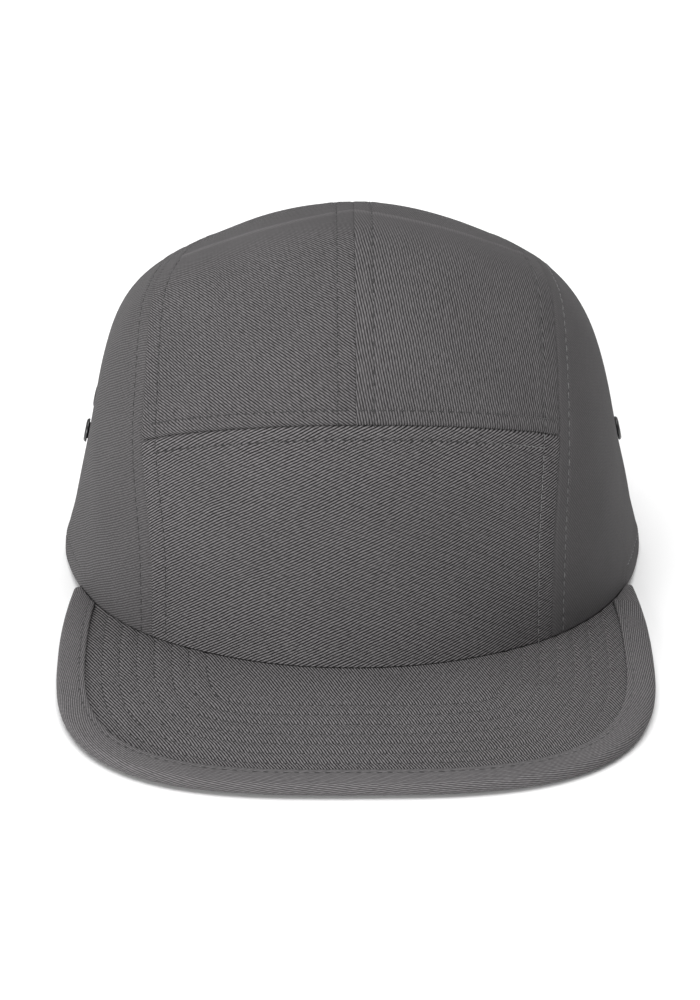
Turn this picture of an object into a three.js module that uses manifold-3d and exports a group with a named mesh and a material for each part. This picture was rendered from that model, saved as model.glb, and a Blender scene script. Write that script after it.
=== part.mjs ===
// A five panel camper cap: a low front panel, two top panels that run back over the head,
// two side panels with eyelets, a short flat brim with a bound edge, a sweatband, and an arch
// at the back crossed by a webbing strap and its clip.
// Millimetres, +Z up. The cap stands on its rim and brim at z = 0 and faces -Y.
// Left and right are the wearer's, so left is +X.
import * as THREE from "three";
import { mergeVertices } from "three/addons/utils/BufferGeometryUtils.js";
import Module from "manifold-3d";

// The crown, measured outside and from its widest station.
const crownWidth = 170.5;
const crownFront = 104;
const crownBack = 95;
const crownHeight = 120.6;
const brimSeamHeight = 10; // lower edge of the front panel above the table, at the centre
const clothWall = 1.5; // twill and its fused backing
const seamGap = 0.3;
const ribSpread = 0.6; // how soon the ribs change from the rim's outline to the top's
const frontSeamDip = 0.018; // how far round the crown the front seam wanders at its ends

// The arch at the back, and the strap that crosses it.
const archWidth = 76;
const archHeight = 46;
const strapWidth = 20;
const strapWall = 1.4;
const strapLift = 4; // strap's lower edge above the rim
const strapLap = 12; // how far the strap runs on behind the cloth
const strapSeat = 7; // how far the strap goes into the clip
const clipWidth = 36;
const clipWall = 1.5;
const clipCorner = 4;
const clipBevel = 0.7;

// The brim.
const brimReach = 60.7; // from the front panel to the brim's edge
const brimFlare = 2.7; // how much wider each side of the brim is than at its end
const brimEndTurn = 69; // degrees round the rim from the front, where the brim ends
const brimEndWidth = 2.5; // how far the edge still stands out there
const brimWidest = 0.335; // share of the way from the ends to the front edge
const brimSquareness = 3.05;
const brimFan = 1.4; // over 1 crowds the lines that run across the brim towards the front
const brimWall = 2.2; // board and cloth
const bindingWidth = 8;
const bindingWall = 0.7;

// The sweatband.
const bandHeight = 30;
const bandWall = 1.2;
const liningGap = 0.7; // from the cloth to the band or the strap inside it

// The eyelets.
const eyeletHole = 3.6;
const eyeletBarrel = 4.8;
const eyeletFlange = 7;
const eyeletRim = 0.8; // flange thickness
const eyeletAboveBand = 13;
const eyeletAhead = 12; // the front one, ahead of the crown's widest station
const eyeletSpacing = 26;
const eyeletSides = 14;

// The crown's centre line, from the brim round to the back rim. reach is a share of crownFront
// where it is negative and of crownBack where it is positive, rise is a share of crownHeight,
// and strip is half the width of the front and top panels, as a share of half the crown's width.
const sideProfile = [
  { at: "brim seam", reach: -1.0, rise: 0, strip: 0.645 },
  { at: "front panel", reach: -0.958, rise: 0.373, strip: 0.66 },
  { at: "front seam", reach: -0.903, rise: 0.656, strip: 0.676 },
  { at: "brow", reach: -0.779, rise: 0.862, strip: 0.672 },
  { at: "front of top", reach: -0.558, rise: 1.0, strip: 0.655 },
  { at: "ridge", reach: -0.346, rise: 1.0, strip: 0.626 },
  { at: "top", reach: -0.077, rise: 0.931, strip: 0.585 },
  { at: "back of top", reach: 0.295, rise: 0.808, strip: 0.538 },
  { at: "back shoulder", reach: 0.653, rise: 0.614, strip: 0.48 },
  { at: "back", reach: 0.884, rise: 0.348, strip: 0.41 },
  { at: "back rim", reach: 1.0, rise: 0, strip: 0.35 },
];

// A rib is a line from one side of the rim over the crown to the other. turn is in degrees from
// the centre line, and rim and top scale a plain ellipse for a rib at the rim and one overhead.
const ribShape = [
  { turn: 0, rim: 1.0, top: 1.0 },
  { turn: 22.5, rim: 1.0, top: 1.015 },
  { turn: 45, rim: 0.988, top: 1.058 },
  { turn: 67.5, rim: 1.0, top: 0.976 },
  { turn: 80, rim: 1.0, top: 0.971 },
  { turn: 90, rim: 1.0, top: 1.0 },
];

const wasm = await Module();
wasm.setup();

const { sin, cos, atan2, hypot, abs, min, max, PI } = Math;
const { lerp, clamp, degToRad, radToDeg } = THREE.MathUtils;
const halfCrown = crownWidth / 2;
const archHalf = archWidth / 2;
const steps = (count) => Array.from({ length: count + 1 }, (_, i) => i / count);
const level = (normal) => new THREE.Vector3(normal.x, normal.y, 0).normalize();

// A table's column as a smooth curve that is level at both ends.
function smoothColumn(rows, key, column, value) {
  let i = 0;
  while (i < rows.length - 2 && value > rows[i + 1][key]) i++;
  const change = (name, a, b) => rows[b][name] - rows[a][name];
  const slope = (k) =>
    k === 0 || k === rows.length - 1 ? 0 : change(column, k - 1, k + 1) / change(key, k - 1, k + 1);
  const span = change(key, i, i + 1);
  const t = clamp((value - rows[i][key]) / span, 0, 1);
  return (
    (2 * t ** 3 - 3 * t ** 2 + 1) * rows[i][column] +
    (t ** 3 - 2 * t ** 2 + t) * span * slope(i) +
    (3 * t ** 2 - 2 * t ** 3) * rows[i + 1][column] +
    (t ** 3 - t ** 2) * span * slope(i + 1)
  );
}

// The value between low and high where a rising function reaches zero.
function solve(rising, low, high) {
  for (let i = 0; i < 40; i++) {
    const middle = (low + high) / 2;
    if (rising(middle) < 0) low = middle;
    else high = middle;
  }
  return (low + high) / 2;
}

const lastSection = sideProfile.length - 1;
const alongAt = (name) => sideProfile.findIndex(({ at }) => at === name) / lastSection;
const centreLine = new THREE.CatmullRomCurve3(
  sideProfile.map(({ at, reach, rise }) => {
    const y = reach * (reach < 0 ? crownFront : crownBack);
    return new THREE.Vector3(0, y, at === "brim seam" ? brimSeamHeight : rise * crownHeight);
  }),
);
const stripRows = sideProfile.map(({ strip }, i) => ({ along: i / lastSection, strip }));

// How far the crown reaches at a turn, as a scale on the plain ellipse.
function ribScale(centre, turn) {
  const overhead = max(centre.z / hypot(centre.y, centre.z), 0) ** ribSpread;
  const rim = smoothColumn(ribShape, "turn", "rim", abs(turn));
  const top = smoothColumn(ribShape, "turn", "top", abs(turn));
  return lerp(rim, top, overhead);
}

// The crown's outer surface. along runs 0 to 1 over the centre line, turn is -90 to 90 degrees.
function crownPoint(along, turn) {
  const centre = centreLine.getPoint(along);
  const scale = ribScale(centre, turn);
  const inward = scale * cos(degToRad(turn));
  const x = halfCrown * scale * sin(degToRad(turn));
  return new THREE.Vector3(x, centre.y * inward, centre.z * inward);
}

function crownNormal(along, turn) {
  if (abs(turn) > 89.9) return new THREE.Vector3(Math.sign(turn), 0, 0);
  const [before, after] = [max(along - 0.002, 0), min(along + 0.002, 1)];
  const lengthways = crownPoint(after, turn).sub(crownPoint(before, turn));
  const across = crownPoint(along, turn + 0.1).sub(crownPoint(along, turn - 0.1));
  return across.cross(lengthways).normalize();
}

// Over 1 outside the crown and under 1 inside it.
const profileAngles = steps(240).map((along) => {
  const { y, z } = centreLine.getPoint(along);
  return { along, angle: atan2(z, -y) };
});
function crownMeasure(x, y, z) {
  const angle = max(atan2(z, -y), profileAngles[0].angle);
  let i = 0;
  while (i < profileAngles.length - 2 && angle > profileAngles[i + 1].angle) i++;
  const [a, b] = [profileAngles[i], profileAngles[i + 1]];
  const share = clamp((angle - a.angle) / (b.angle - a.angle), 0, 1);
  const centre = centreLine.getPoint(lerp(a.along, b.along, share));
  const inward = hypot(y, z) / hypot(centre.y, centre.z);
  const turn = radToDeg(atan2(abs(x) / halfCrown, inward));
  return hypot(x / halfCrown, inward) / ribScale(centre, turn);
}

// The crown's outer surface at a compass angle, 0 at the front and 180 at the back, and a height.
function crownAround(compass, height) {
  const [x, y] = [sin(degToRad(compass)), -cos(degToRad(compass))];
  const out = solve((r) => crownMeasure(x * r, y * r, height) - 1, 1, crownWidth + crownFront);
  return new THREE.Vector3(x * out, y * out, height);
}

function normalAround(compass, height) {
  const round = crownAround(compass + 0.5, height).sub(crownAround(compass - 0.5, height));
  const up = crownAround(compass, height + 1).sub(crownAround(compass, height));
  return round.cross(up).normalize();
}

// A place at a depth behind the crown's outer surface, level with a place on it.
function behindCrown(compass, height, depth) {
  const normal = normalAround(compass, height);
  const way = depth / hypot(normal.x, normal.y);
  return crownAround(compass, height).addScaledVector(level(normal), -way);
}

// The lower edge of the cloth, which lies in one plane from the brim seam to the sides.
const rimHeight = (y) => max(0, (-y / crownFront) * brimSeamHeight);

// A closed geometry turned so that its faces point out.
function facingOut(geometry) {
  const position = geometry.getAttribute("position");
  const index = geometry.index.array;
  const corner = (i) => new THREE.Vector3().fromBufferAttribute(position, index[i]);
  let volume = 0;
  for (let i = 0; i < index.length; i += 3)
    volume += corner(i).dot(corner(i + 1).cross(corner(i + 2)));
  if (volume < 0) index.reverse();
  return geometry;
}

// A wall between two grids of points, outer and inner, closed along its four edges.
function wallBetween(outer, inner) {
  const positions = [];
  const index = [];
  const places = new Map();
  const vertex = (p) => {
    const key = [p.x, p.y, p.z].map((v) => Math.round(v * 2000)).join(" ");
    if (!places.has(key)) {
      places.set(key, places.size);
      positions.push(p.x, p.y, p.z);
    }
    return places.get(key);
  };
  const triangle = (...points) => {
    const [a, b, c] = points.map(vertex);
    if (a !== b && b !== c && c !== a) index.push(a, b, c);
  };
  const quad = (a, b, c, d) => {
    triangle(a, b, c);
    triangle(a, c, d);
  };
  const [rows, columns] = [outer.length - 1, outer[0].length - 1];
  for (let i = 0; i < rows; i++)
    for (let j = 0; j < columns; j++) {
      quad(outer[i][j], outer[i][j + 1], outer[i + 1][j + 1], outer[i + 1][j]);
      quad(inner[i][j], inner[i + 1][j], inner[i + 1][j + 1], inner[i][j + 1]);
    }
  for (let j = 0; j < columns; j++) {
    quad(outer[0][j + 1], outer[0][j], inner[0][j], inner[0][j + 1]);
    quad(outer[rows][j], outer[rows][j + 1], inner[rows][j + 1], inner[rows][j]);
  }
  for (let i = 0; i < rows; i++) {
    quad(outer[i][0], outer[i + 1][0], inner[i + 1][0], inner[i][0]);
    quad(outer[i + 1][columns], outer[i][columns], inner[i][columns], inner[i + 1][columns]);
  }
  const geometry = new THREE.BufferGeometry();
  geometry.setAttribute("position", new THREE.Float32BufferAttribute(positions, 3));
  return facingOut(geometry.setIndex(index));
}

// The geometry with only its positions, shared wherever corners meet.
function bare(geometry) {
  geometry.deleteAttribute("normal");
  geometry.deleteAttribute("uv");
  return mergeVertices(geometry, 1e-3);
}

function toSolid(geometry) {
  const merged = bare(geometry);
  return new wasm.Manifold(
    new wasm.Mesh({
      numProp: 3,
      vertProperties: Float32Array.from(merged.attributes.position.array),
      triVerts: Uint32Array.from(merged.index.array),
    }),
  );
}

function cutAway(geometry, cutters) {
  const solid = cutters.reduce((left, cutter) => left.subtract(toSolid(cutter)), toSolid(geometry));
  const mesh = solid.getMesh();
  const result = new THREE.BufferGeometry();
  result.setAttribute("position", new THREE.BufferAttribute(mesh.vertProperties, 3));
  return result.setIndex(new THREE.BufferAttribute(mesh.triVerts, 1));
}

// Half the turn that the front and top panels take up.
function stripTurn(along) {
  const half = smoothColumn(stripRows, "along", "strip", along);
  const centre = centreLine.getPoint(along);
  return solve((turn) => ribScale(centre, turn) * sin(degToRad(turn)) - half, 0, 80);
}

const archEdge = (x) => archHeight * Math.sqrt(max(0, 1 - (x / archHalf) ** 2));

// Where along the crown a turn comes down to the arch, or 1 where it misses it.
function archAlong(turn) {
  const aboveArch = (along) => {
    const { x, z } = crownPoint(along, turn);
    return z - archEdge(x);
  };
  if (crownPoint(1, turn).x >= archHalf) return 1;
  return solve((along) => -aboveArch(along), alongAt("back of top"), 1);
}

const frontSeam = (across) => alongAt("front seam") + frontSeamDip * across ** 2;

// A cloth panel over a grid of [along, turn] places. Its edges are drawn in by half a seam gap,
// but an edge on the rim keeps its place and is cut level.
function clothPanel(places, onRim) {
  const outer = places.map((row) => row.map(([along, turn]) => crownPoint(along, turn)));
  const [rows, columns] = [outer.length - 1, outer[0].length - 1];
  const drawIn = (p, towards) => {
    const way = towards.clone().sub(p);
    if (way.length() > 2 * seamGap) p.addScaledVector(way.normalize(), seamGap / 2);
  };
  for (let i = 0; i <= rows; i++) {
    drawIn(outer[i][0], outer[i][1]);
    if (!onRim(i, columns)) drawIn(outer[i][columns], outer[i][columns - 1]);
  }
  for (let j = 0; j <= columns; j++) {
    if (!onRim(0, j)) drawIn(outer[0][j], outer[1][j]);
    if (!onRim(rows, j)) drawIn(outer[rows][j], outer[rows - 1][j]);
  }
  const inner = outer.map((row, i) =>
    row.map((p, j) => {
      const normal = crownNormal(...places[i][j]);
      return p.clone().addScaledVector(onRim(i, j) ? level(normal) : normal, -clothWall);
    }),
  );
  return wallBetween(outer, inner);
}

function frontPanel() {
  const places = steps(8).map((up) =>
    steps(16).map((step) => {
      const across = 2 * step - 1;
      const along = up * frontSeam(across);
      return [along, across * stripTurn(along)];
    }),
  );
  return clothPanel(places, (row) => row === 0);
}

function topPanel(side) {
  const places = steps(22).map((back) =>
    steps(8).map((across) => {
      const start = frontSeam(across);
      let along = lerp(start, 1, back);
      for (let i = 0; i < 8; i++) along = lerp(start, archAlong(across * stripTurn(along)), back);
      return [along, side * across * stripTurn(along)];
    }),
  );
  return clothPanel(places, () => false);
}

function sidePanel(side) {
  const footTurn = solve((turn) => crownPoint(1, turn).x - archHalf, 0, 85);
  const foot = (footTurn - stripTurn(1)) / (90 - stripTurn(1));
  const levels = [
    ...steps(3).map((s) => s * foot),
    ...steps(8).slice(1).map((s) => lerp(foot, 1, s)),
  ];
  const turnAt = (along, share) => lerp(stripTurn(along), 90, share);
  const ends = levels.map((share) => {
    let along = 1;
    for (let i = 0; i < 10 && share < foot - 1e-6; i++) along = archAlong(turnAt(along, share));
    return along;
  });
  const rows = 30;
  const places = steps(rows).map((back) =>
    levels.map((share, j) => [back * ends[j], side * turnAt(back * ends[j], share)]),
  );
  const onRim = (i, j) => i === 0 || j === levels.length - 1 || (i === rows && j >= 3);
  const cloth = clothPanel(places, onRim);
  return cutAway(cloth, [0, 1].map((number) => atEyelet(side, number, eyeletBore())));
}

// A shape made along +Z at the origin, moved to a place on the crown so that +Z points out
// and +Y points up.
function onCrown(geometry, compass, height, depth) {
  const out = normalAround(compass, height);
  const right = new THREE.Vector3(0, 0, 1).cross(out).normalize();
  const up = out.clone().cross(right);
  const place = crownAround(compass, height).addScaledVector(out, -depth);
  return geometry.applyMatrix4(new THREE.Matrix4().makeBasis(right, up, out).setPosition(place));
}

const eyeletHeight = bandHeight + eyeletAboveBand;
function atEyelet(side, number, geometry) {
  const y = number * eyeletSpacing - eyeletAhead;
  const x = solve((reach) => crownMeasure(reach, y, eyeletHeight) - 1, 1, crownWidth);
  return onCrown(geometry, radToDeg(atan2(side * x, -y)), eyeletHeight, 0);
}

function eyeletBore() {
  const radius = eyeletBarrel / 2 + seamGap;
  return new THREE.CylinderGeometry(radius, radius, 6 * clothWall, eyeletSides).rotateX(PI / 2);
}

// A flanged tube that grips the cloth from both sides.
function eyelet(side, number) {
  const [hole, barrel, flange] = [eyeletHole / 2, eyeletBarrel / 2, eyeletFlange / 2];
  const [outside, inside] = [seamGap, -clothWall - seamGap];
  const edge = eyeletRim / 2;
  const section = [
    [hole, inside - edge],
    [hole + edge, inside - eyeletRim],
    [flange - edge, inside - eyeletRim],
    [flange, inside],
    [barrel, inside],
    [barrel, outside],
    [flange, outside],
    [flange - edge, outside + eyeletRim],
    [hole + edge, outside + eyeletRim],
    [hole, outside + edge],
    [hole, inside - edge],
  ].map(([radius, height]) => new THREE.Vector2(radius, height));
  const ring = new THREE.LatheGeometry(section, eyeletSides).rotateX(PI / 2);
  return facingOut(atEyelet(side, number, bare(ring)));
}

// The brim's edge in plan, from its right end round the front to its left end.
const brimEnd = crownPoint(0, brimEndTurn);
class BrimEdge extends THREE.Curve {
  getPoint(t) {
    const side = t < 0.5 ? -1 : 1;
    const [frontY, halfWidth] = [-crownFront - brimReach, brimEnd.x + brimEndWidth + brimFlare];
    const widestY = lerp(brimEnd.y, frontY, brimWidest);
    const fromFront = abs(2 * t - 1);
    const sideStart = 0.8;
    if (fromFront > sideStart) {
      const back = (fromFront - sideStart) / (1 - sideStart);
      const x = halfWidth - brimFlare * back ** 2;
      return new THREE.Vector2(side * x, lerp(widestY, brimEnd.y, back));
    }
    const round = ((fromFront / sideStart) * PI) / 2;
    const x = halfWidth * sin(round) ** (2 / brimSquareness);
    const y = lerp(widestY, frontY, cos(round) ** (2 / brimSquareness));
    return new THREE.Vector2(side * x, y);
  }
}
const brimEdge = new BrimEdge();
brimEdge.arcLengthDivisions = 800;

// A line across the brim from its edge to the crown. at(depth, height) is a place on it, where
// height is from the middle of the brim's thickness. It starts square to the edge, below the
// binding, and then runs straight to the crown.
const boundHalf = bindingWall + seamGap + brimWall / 2;
function brimLine(across) {
  const share = (across + 1) / 2;
  const edge = brimEdge.getPointAt(share);
  const ahead = brimEdge.getTangentAt(share);
  const inward = new THREE.Vector2(-ahead.y, ahead.x);
  const outside = (depth) => {
    const p = edge.clone().addScaledVector(inward, depth);
    return crownMeasure(p.x, p.y, 2 * boundHalf) - 1;
  };
  const room = solve((depth) => -outside(depth), 0, brimReach);
  const fold = min(bindingWidth, room - seamGap);
  const turn = Math.sign(across) * abs(across) ** brimFan * brimEndTurn;
  const rim = crownPoint(0, turn);
  const underCloth = level(crownNormal(0, turn)).negate();
  const bend = edge.clone().addScaledVector(inward, fold + seamGap);
  const straight = hypot(rim.x - bend.x, rim.y - bend.y);
  const total = fold + seamGap + straight;
  const rootMiddle = rim.z - seamGap - brimWall / 2;
  const at = (depth, height) => {
    const z = lerp(boundHalf, rootMiddle, min(depth / total, 1)) + height;
    const p = edge.clone();
    if (depth <= fold + seamGap) p.addScaledVector(inward, depth);
    else if (depth < total) p.copy(bend).lerp(rim, (depth - fold - seamGap) / straight);
    else p.set(rim.x, rim.y).addScaledVector(underCloth, depth - total);
    return new THREE.Vector3(p.x, p.y, z);
  };
  return { at, fold, total, straight };
}

const brimEnds = 0.46 * PI;
const brimLines = steps(46).map((step) => brimLine(sin((2 * step - 1) * brimEnds) / sin(brimEnds)));

function brim() {
  const face = (height) =>
    brimLines.map(({ at, fold, total, straight }) => [
      at(bindingWall + seamGap, height),
      at(fold / 2, height),
      ...steps(4).map((s) => at(total - straight * (1 - s), height)),
      at(total + clothWall, height),
    ]);
  return wallBetween(face(brimWall / 2), face(-brimWall / 2));
}

// Folded cloth round the brim's edge.
function brimBinding() {
  const soft = bindingWall / 2;
  const inside = boundHalf - bindingWall;
  const outer = brimLines.map(({ at, fold }) => [
    at(fold, -boundHalf),
    at(fold / 2, -boundHalf),
    at(soft, -boundHalf),
    at(0, soft - boundHalf),
    at(0, boundHalf - soft),
    at(soft, boundHalf),
    at(fold / 2, boundHalf),
    at(fold, boundHalf),
  ]);
  const inner = brimLines.map(({ at, fold }) => [
    at(fold, -inside),
    at(fold / 2, -inside),
    at(bindingWall, -inside),
    at(bindingWall, -inside / 3),
    at(bindingWall, inside / 3),
    at(bindingWall, inside),
    at(fold / 2, inside),
    at(fold, inside),
  ]);
  return wallBetween(outer, inner);
}

// The compass angle at which the crown's back is a given way from the centre line.
const strapMiddle = strapLift + strapWidth / 2;
function compassAcross(x) {
  const y = solve((back) => crownMeasure(x, back, strapMiddle) - 1, 0, crownBack + crownWidth);
  return radToDeg(atan2(x, -y));
}

function sweatband() {
  const end = compassAcross(archHalf + strapLap + 2 * liningGap);
  const face = (depth) =>
    steps(56).map((step) => {
      const compass = (2 * step - 1) * end;
      const foot = rimHeight(crownAround(compass, brimSeamHeight).y) + seamGap;
      return steps(3).map((up) => behindCrown(compass, foot + up * bandHeight, depth));
    });
  const outside = clothWall + liningGap;
  return wallBetween(face(outside), face(outside + bandWall));
}

// One end of the strap, from inside the clip to behind the side panel.
const strapDepth = clothWall + liningGap;
const strapHeights = [strapLift, strapMiddle, strapLift + strapWidth];
function strapEnd(side) {
  const [start, end] = [clipWidth / 2 - strapSeat, archHalf + strapLap].map(compassAcross);
  const face = (depth) =>
    steps(10).map((step) =>
      strapHeights.map((height) => behindCrown(side * lerp(start, end, step), height, depth)),
    );
  return wallBetween(face(strapDepth), face(strapDepth + strapWall));
}

// A flat clip that both strap ends go into. Its slots clear the strap all round.
function strapClip() {
  const seat = [clipWidth / 2 - strapSeat, clipWidth / 2].map(compassAcross);
  const out = normalAround(180, strapMiddle);
  const up = new THREE.Vector3(0, 0, 1).projectOnPlane(out).normalize();
  const origin = crownAround(180, strapMiddle).addScaledVector(out, -strapDepth);
  const strapCorners = seat.flatMap((compass) =>
    strapHeights.flatMap((height) =>
      [strapDepth, strapDepth + strapWall].map((d) => behindCrown(compass, height, d).sub(origin)),
    ),
  );
  const slot = new THREE.Box3()
    .setFromPoints(strapCorners.map((p) => new THREE.Vector3(p.x, p.dot(up), p.dot(out))))
    .expandByScalar(seamGap);
  const size = slot.getSize(new THREE.Vector3());
  const middle = slot.getCenter(new THREE.Vector3());
  const depth = size.z + 2 * clipWall;
  const [w, h] = [clipWidth / 2 - clipBevel, size.y / 2 + clipWall - clipBevel];
  const outline = new THREE.Shape()
    .moveTo(clipCorner - w, -h)
    .lineTo(w - clipCorner, -h)
    .absarc(w - clipCorner, clipCorner - h, clipCorner, -PI / 2, 0)
    .absarc(w - clipCorner, h - clipCorner, clipCorner, 0, PI / 2)
    .absarc(clipCorner - w, h - clipCorner, clipCorner, PI / 2, PI)
    .absarc(clipCorner - w, clipCorner - h, clipCorner, PI, 1.5 * PI);
  const body = new THREE.ExtrudeGeometry(outline, {
    depth: depth - 2 * clipBevel,
    bevelThickness: clipBevel,
    bevelSize: clipBevel,
    bevelSegments: 1,
    curveSegments: 4,
  }).translate(0, middle.y, middle.z - depth / 2 + clipBevel);
  const seats = [-1, 1].map((side) => {
    const cutter = new THREE.BoxGeometry(clipWidth, size.y, size.z);
    return cutter.translate(side * (slot.min.x + clipWidth / 2), middle.y, middle.z);
  });
  return onCrown(cutAway(body, seats), 180, strapMiddle, strapDepth);
}

const twill = new THREE.MeshStandardMaterial({ color: 0x6b6a6b, roughness: 0.92, metalness: 0 });
const trim = new THREE.MeshStandardMaterial({ color: 0x5d5c5d, roughness: 0.9, metalness: 0 });
const tape = new THREE.MeshStandardMaterial({ color: 0x3b3a3b, roughness: 0.88, metalness: 0 });
const blackMetal = new THREE.MeshStandardMaterial({ color: 0x17171a, roughness: 0.38, metalness: 0.7 });
const plastic = new THREE.MeshStandardMaterial({ color: 0x1c1c1e, roughness: 0.5, metalness: 0 });

const cap = new THREE.Group();
function add(name, geometry, material) {
  const mesh = new THREE.Mesh(geometry, material);
  mesh.name = name;
  cap.add(mesh);
}

add("front_panel", frontPanel(), twill);
add("brim", brim(), twill);
add("brim_binding", brimBinding(), trim);
add("sweatband", sweatband(), tape);
add("strap_clip", strapClip(), plastic);
for (const [hand, side] of [["left", 1], ["right", -1]]) {
  add(`top_panel_${hand}`, topPanel(side), twill);
  add(`side_panel_${hand}`, sidePanel(side), twill);
  add(`strap_${hand}`, strapEnd(side), tape);
  add(`eyelet_${hand}_front`, eyelet(side, 0), blackMetal);
  add(`eyelet_${hand}_rear`, eyelet(side, 1), blackMetal);
}

// The origin is on the table, halfway along and across the whole cap.
const whole = new THREE.Box3().setFromObject(cap);
cap.position.set(0, -(whole.min.y + whole.max.y) / 2, 0);

export default cap;
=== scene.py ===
import math

import bmesh
import bpy
import numpy as np
from mathutils import Matrix, Vector
from mathutils.kdtree import KDTree


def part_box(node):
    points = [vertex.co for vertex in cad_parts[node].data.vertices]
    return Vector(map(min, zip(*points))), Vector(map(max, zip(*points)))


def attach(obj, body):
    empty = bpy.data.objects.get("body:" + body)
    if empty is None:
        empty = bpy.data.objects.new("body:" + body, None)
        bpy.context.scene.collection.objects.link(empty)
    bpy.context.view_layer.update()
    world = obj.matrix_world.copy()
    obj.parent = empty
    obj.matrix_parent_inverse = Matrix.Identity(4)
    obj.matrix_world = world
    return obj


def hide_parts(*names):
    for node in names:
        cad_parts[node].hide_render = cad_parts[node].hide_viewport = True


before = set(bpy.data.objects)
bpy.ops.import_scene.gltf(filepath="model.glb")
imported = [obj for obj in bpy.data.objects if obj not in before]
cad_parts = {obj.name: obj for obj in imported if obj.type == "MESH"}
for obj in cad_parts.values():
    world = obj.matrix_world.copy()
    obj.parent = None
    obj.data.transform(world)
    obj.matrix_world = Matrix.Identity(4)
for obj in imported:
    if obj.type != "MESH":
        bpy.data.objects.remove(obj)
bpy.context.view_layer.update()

print("frame loaded,", len(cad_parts), "solids")

# Lengths below are millimetres in the crown's own frame: its widest station is at y = 0, the cap
# faces -y and stands on z = 0. Meshes are written in metres in the frame of the solids.

crown = {
    "width": 170.5,
    "front": 104.0,
    "back": 95.0,
    "height": 120.6,
    "brimSeamHeight": 10.0,
    "ribSpread": 0.6,
    "frontSeamRow": 2,  # the row of the profile where the front seam lies
    "archRow": 7,  # the arch is looked for behind this row
    "seamDip": 0.018,  # how far round the crown the front seam wanders at its ends
    "seamTuck": 0.3,  # how far, in degrees, a side panel reaches under its seam
    "cloth": 1.2,
    "archHalf": 38.0,
    "archHeight": 46.0,
    "archTurn": 70.0,  # past both ends of the arch
}
# reach, rise and half width of the middle strip down the centre line, from brim to back rim
sideProfile = [
    (-1.0, 0.0, 0.645),
    (-0.958, 0.373, 0.66),
    (-0.903, 0.656, 0.676),
    (-0.779, 0.862, 0.672),
    (-0.558, 1.0, 0.655),
    (-0.346, 1.0, 0.626),
    (-0.077, 0.931, 0.585),
    (0.295, 0.808, 0.538),
    (0.653, 0.614, 0.48),
    (0.884, 0.348, 0.41),
    (1.0, 0.0, 0.35),
]
# turn from the centre line, and how far a rib stands out at the rim and overhead
ribShape = [
    (0.0, 1.0, 1.0),
    (22.5, 1.0, 1.015),
    (45.0, 0.988, 1.058),
    (67.5, 1.0, 0.976),
    (80.0, 1.0, 0.971),
    (90.0, 1.0, 1.0),
]
hands = {1: "left", -1: "right"}
# how far out each side seam is drawn beyond the even strip, row by row of the profile
seamEase = {
    1: (1.1, 0.0, -0.5, -0.3, 0.0, 0.0, 0.0, 0.0, 0.0, 0.0, 0.0),
    -1: (2.9, 1.7, 2.2, 1.8, 1.7, 0.6, 0.0, 0.0, 0.0, 0.0, 0.0),
}
# soft swellings of the worn shape: middle, height and reach
swellings = [
    ((-61.0, 2.0, 79.0), 1.3, 18.0),
    ((70.0, 10.0, 64.0), -2.0, 21.0),
]
brim = {
    "reach": 60.7,
    "flare": 2.7,
    "endTurn": 69.0,
    "endWidth": 2.5,
    "widest": 0.335,
    "cornersAt": 0.8,  # share of half the edge from its middle to its widest point
    "squareness": 3.05,
    "fan": 1.4,
    "wall": 2.2,
    "rounding": 0.35,
    "tuck": 1.0,  # how far the board reaches under the crown
    "gap": 0.3,
    "hemBehind": 4.0,  # from the brim's end to where the rim's own hem begins
    "rows": 7,  # stitch rows on the brim
    "firstRow": 12.6,  # from the edge
    "rowSpacing": 4.9,
    "lines": 361,  # lines of points across the brim
    "crowding": 0.46,
    "edgeSamples": 4001,
}
turnLimits = {"seam": 80.0, "foot": 85.0}  # past any side seam, and past the foot of the arch
farOut = 300.0  # beyond every point of the cap

frontReach = crown["front"] + brim["reach"]
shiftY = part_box("brim_binding")[0].y * 1000 + frontReach
halfCrown = crown["width"] / 2


# The crown's rule

def smoothTable(places, values, at):
    # a table as a smooth curve that is level at both ends
    places, values = np.asarray(places, float), np.asarray(values, float)
    slopes = np.zeros(len(places))
    slopes[1:-1] = (values[2:] - values[:-2]) / (places[2:] - places[:-2])
    i = np.clip(np.searchsorted(places, at) - 1, 0, len(places) - 2)
    span = places[i + 1] - places[i]
    t = np.clip((at - places[i]) / span, 0, 1)
    return (
        (2 * t**3 - 3 * t**2 + 1) * values[i]
        + (t**3 - 2 * t**2 + t) * span * slopes[i]
        + (3 * t**2 - 2 * t**3) * values[i + 1]
        + (t**3 - t**2) * span * slopes[i + 1]
    )


def smoothLine(points, samples):
    # a curve through the points, with each span paced by the root of its length
    points = np.asarray(points, float)
    last = len(points) - 1
    line = []
    for place in np.linspace(0, last, samples):
        i = min(int(place), last - 1)
        w = place - i
        p1, p2 = points[i], points[i + 1]
        p0 = points[i - 1] if i > 0 else 2 * p1 - p2
        p3 = points[i + 2] if i + 2 <= last else 2 * p2 - p1
        d0, d1, d2 = (math.sqrt(math.dist(a, b)) for a, b in ((p0, p1), (p1, p2), (p2, p3)))
        t1 = ((p1 - p0) / d0 - (p2 - p0) / (d0 + d1) + (p2 - p1) / d1) * d1
        t2 = ((p2 - p1) / d1 - (p3 - p1) / (d1 + d2) + (p3 - p2) / d2) * d1
        line.append(
            p1 + t1 * w
            + (3 * (p2 - p1) - 2 * t1 - t2) * w**2
            + (2 * (p1 - p2) + t1 + t2) * w**3
        )
    return np.array(line)


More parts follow.
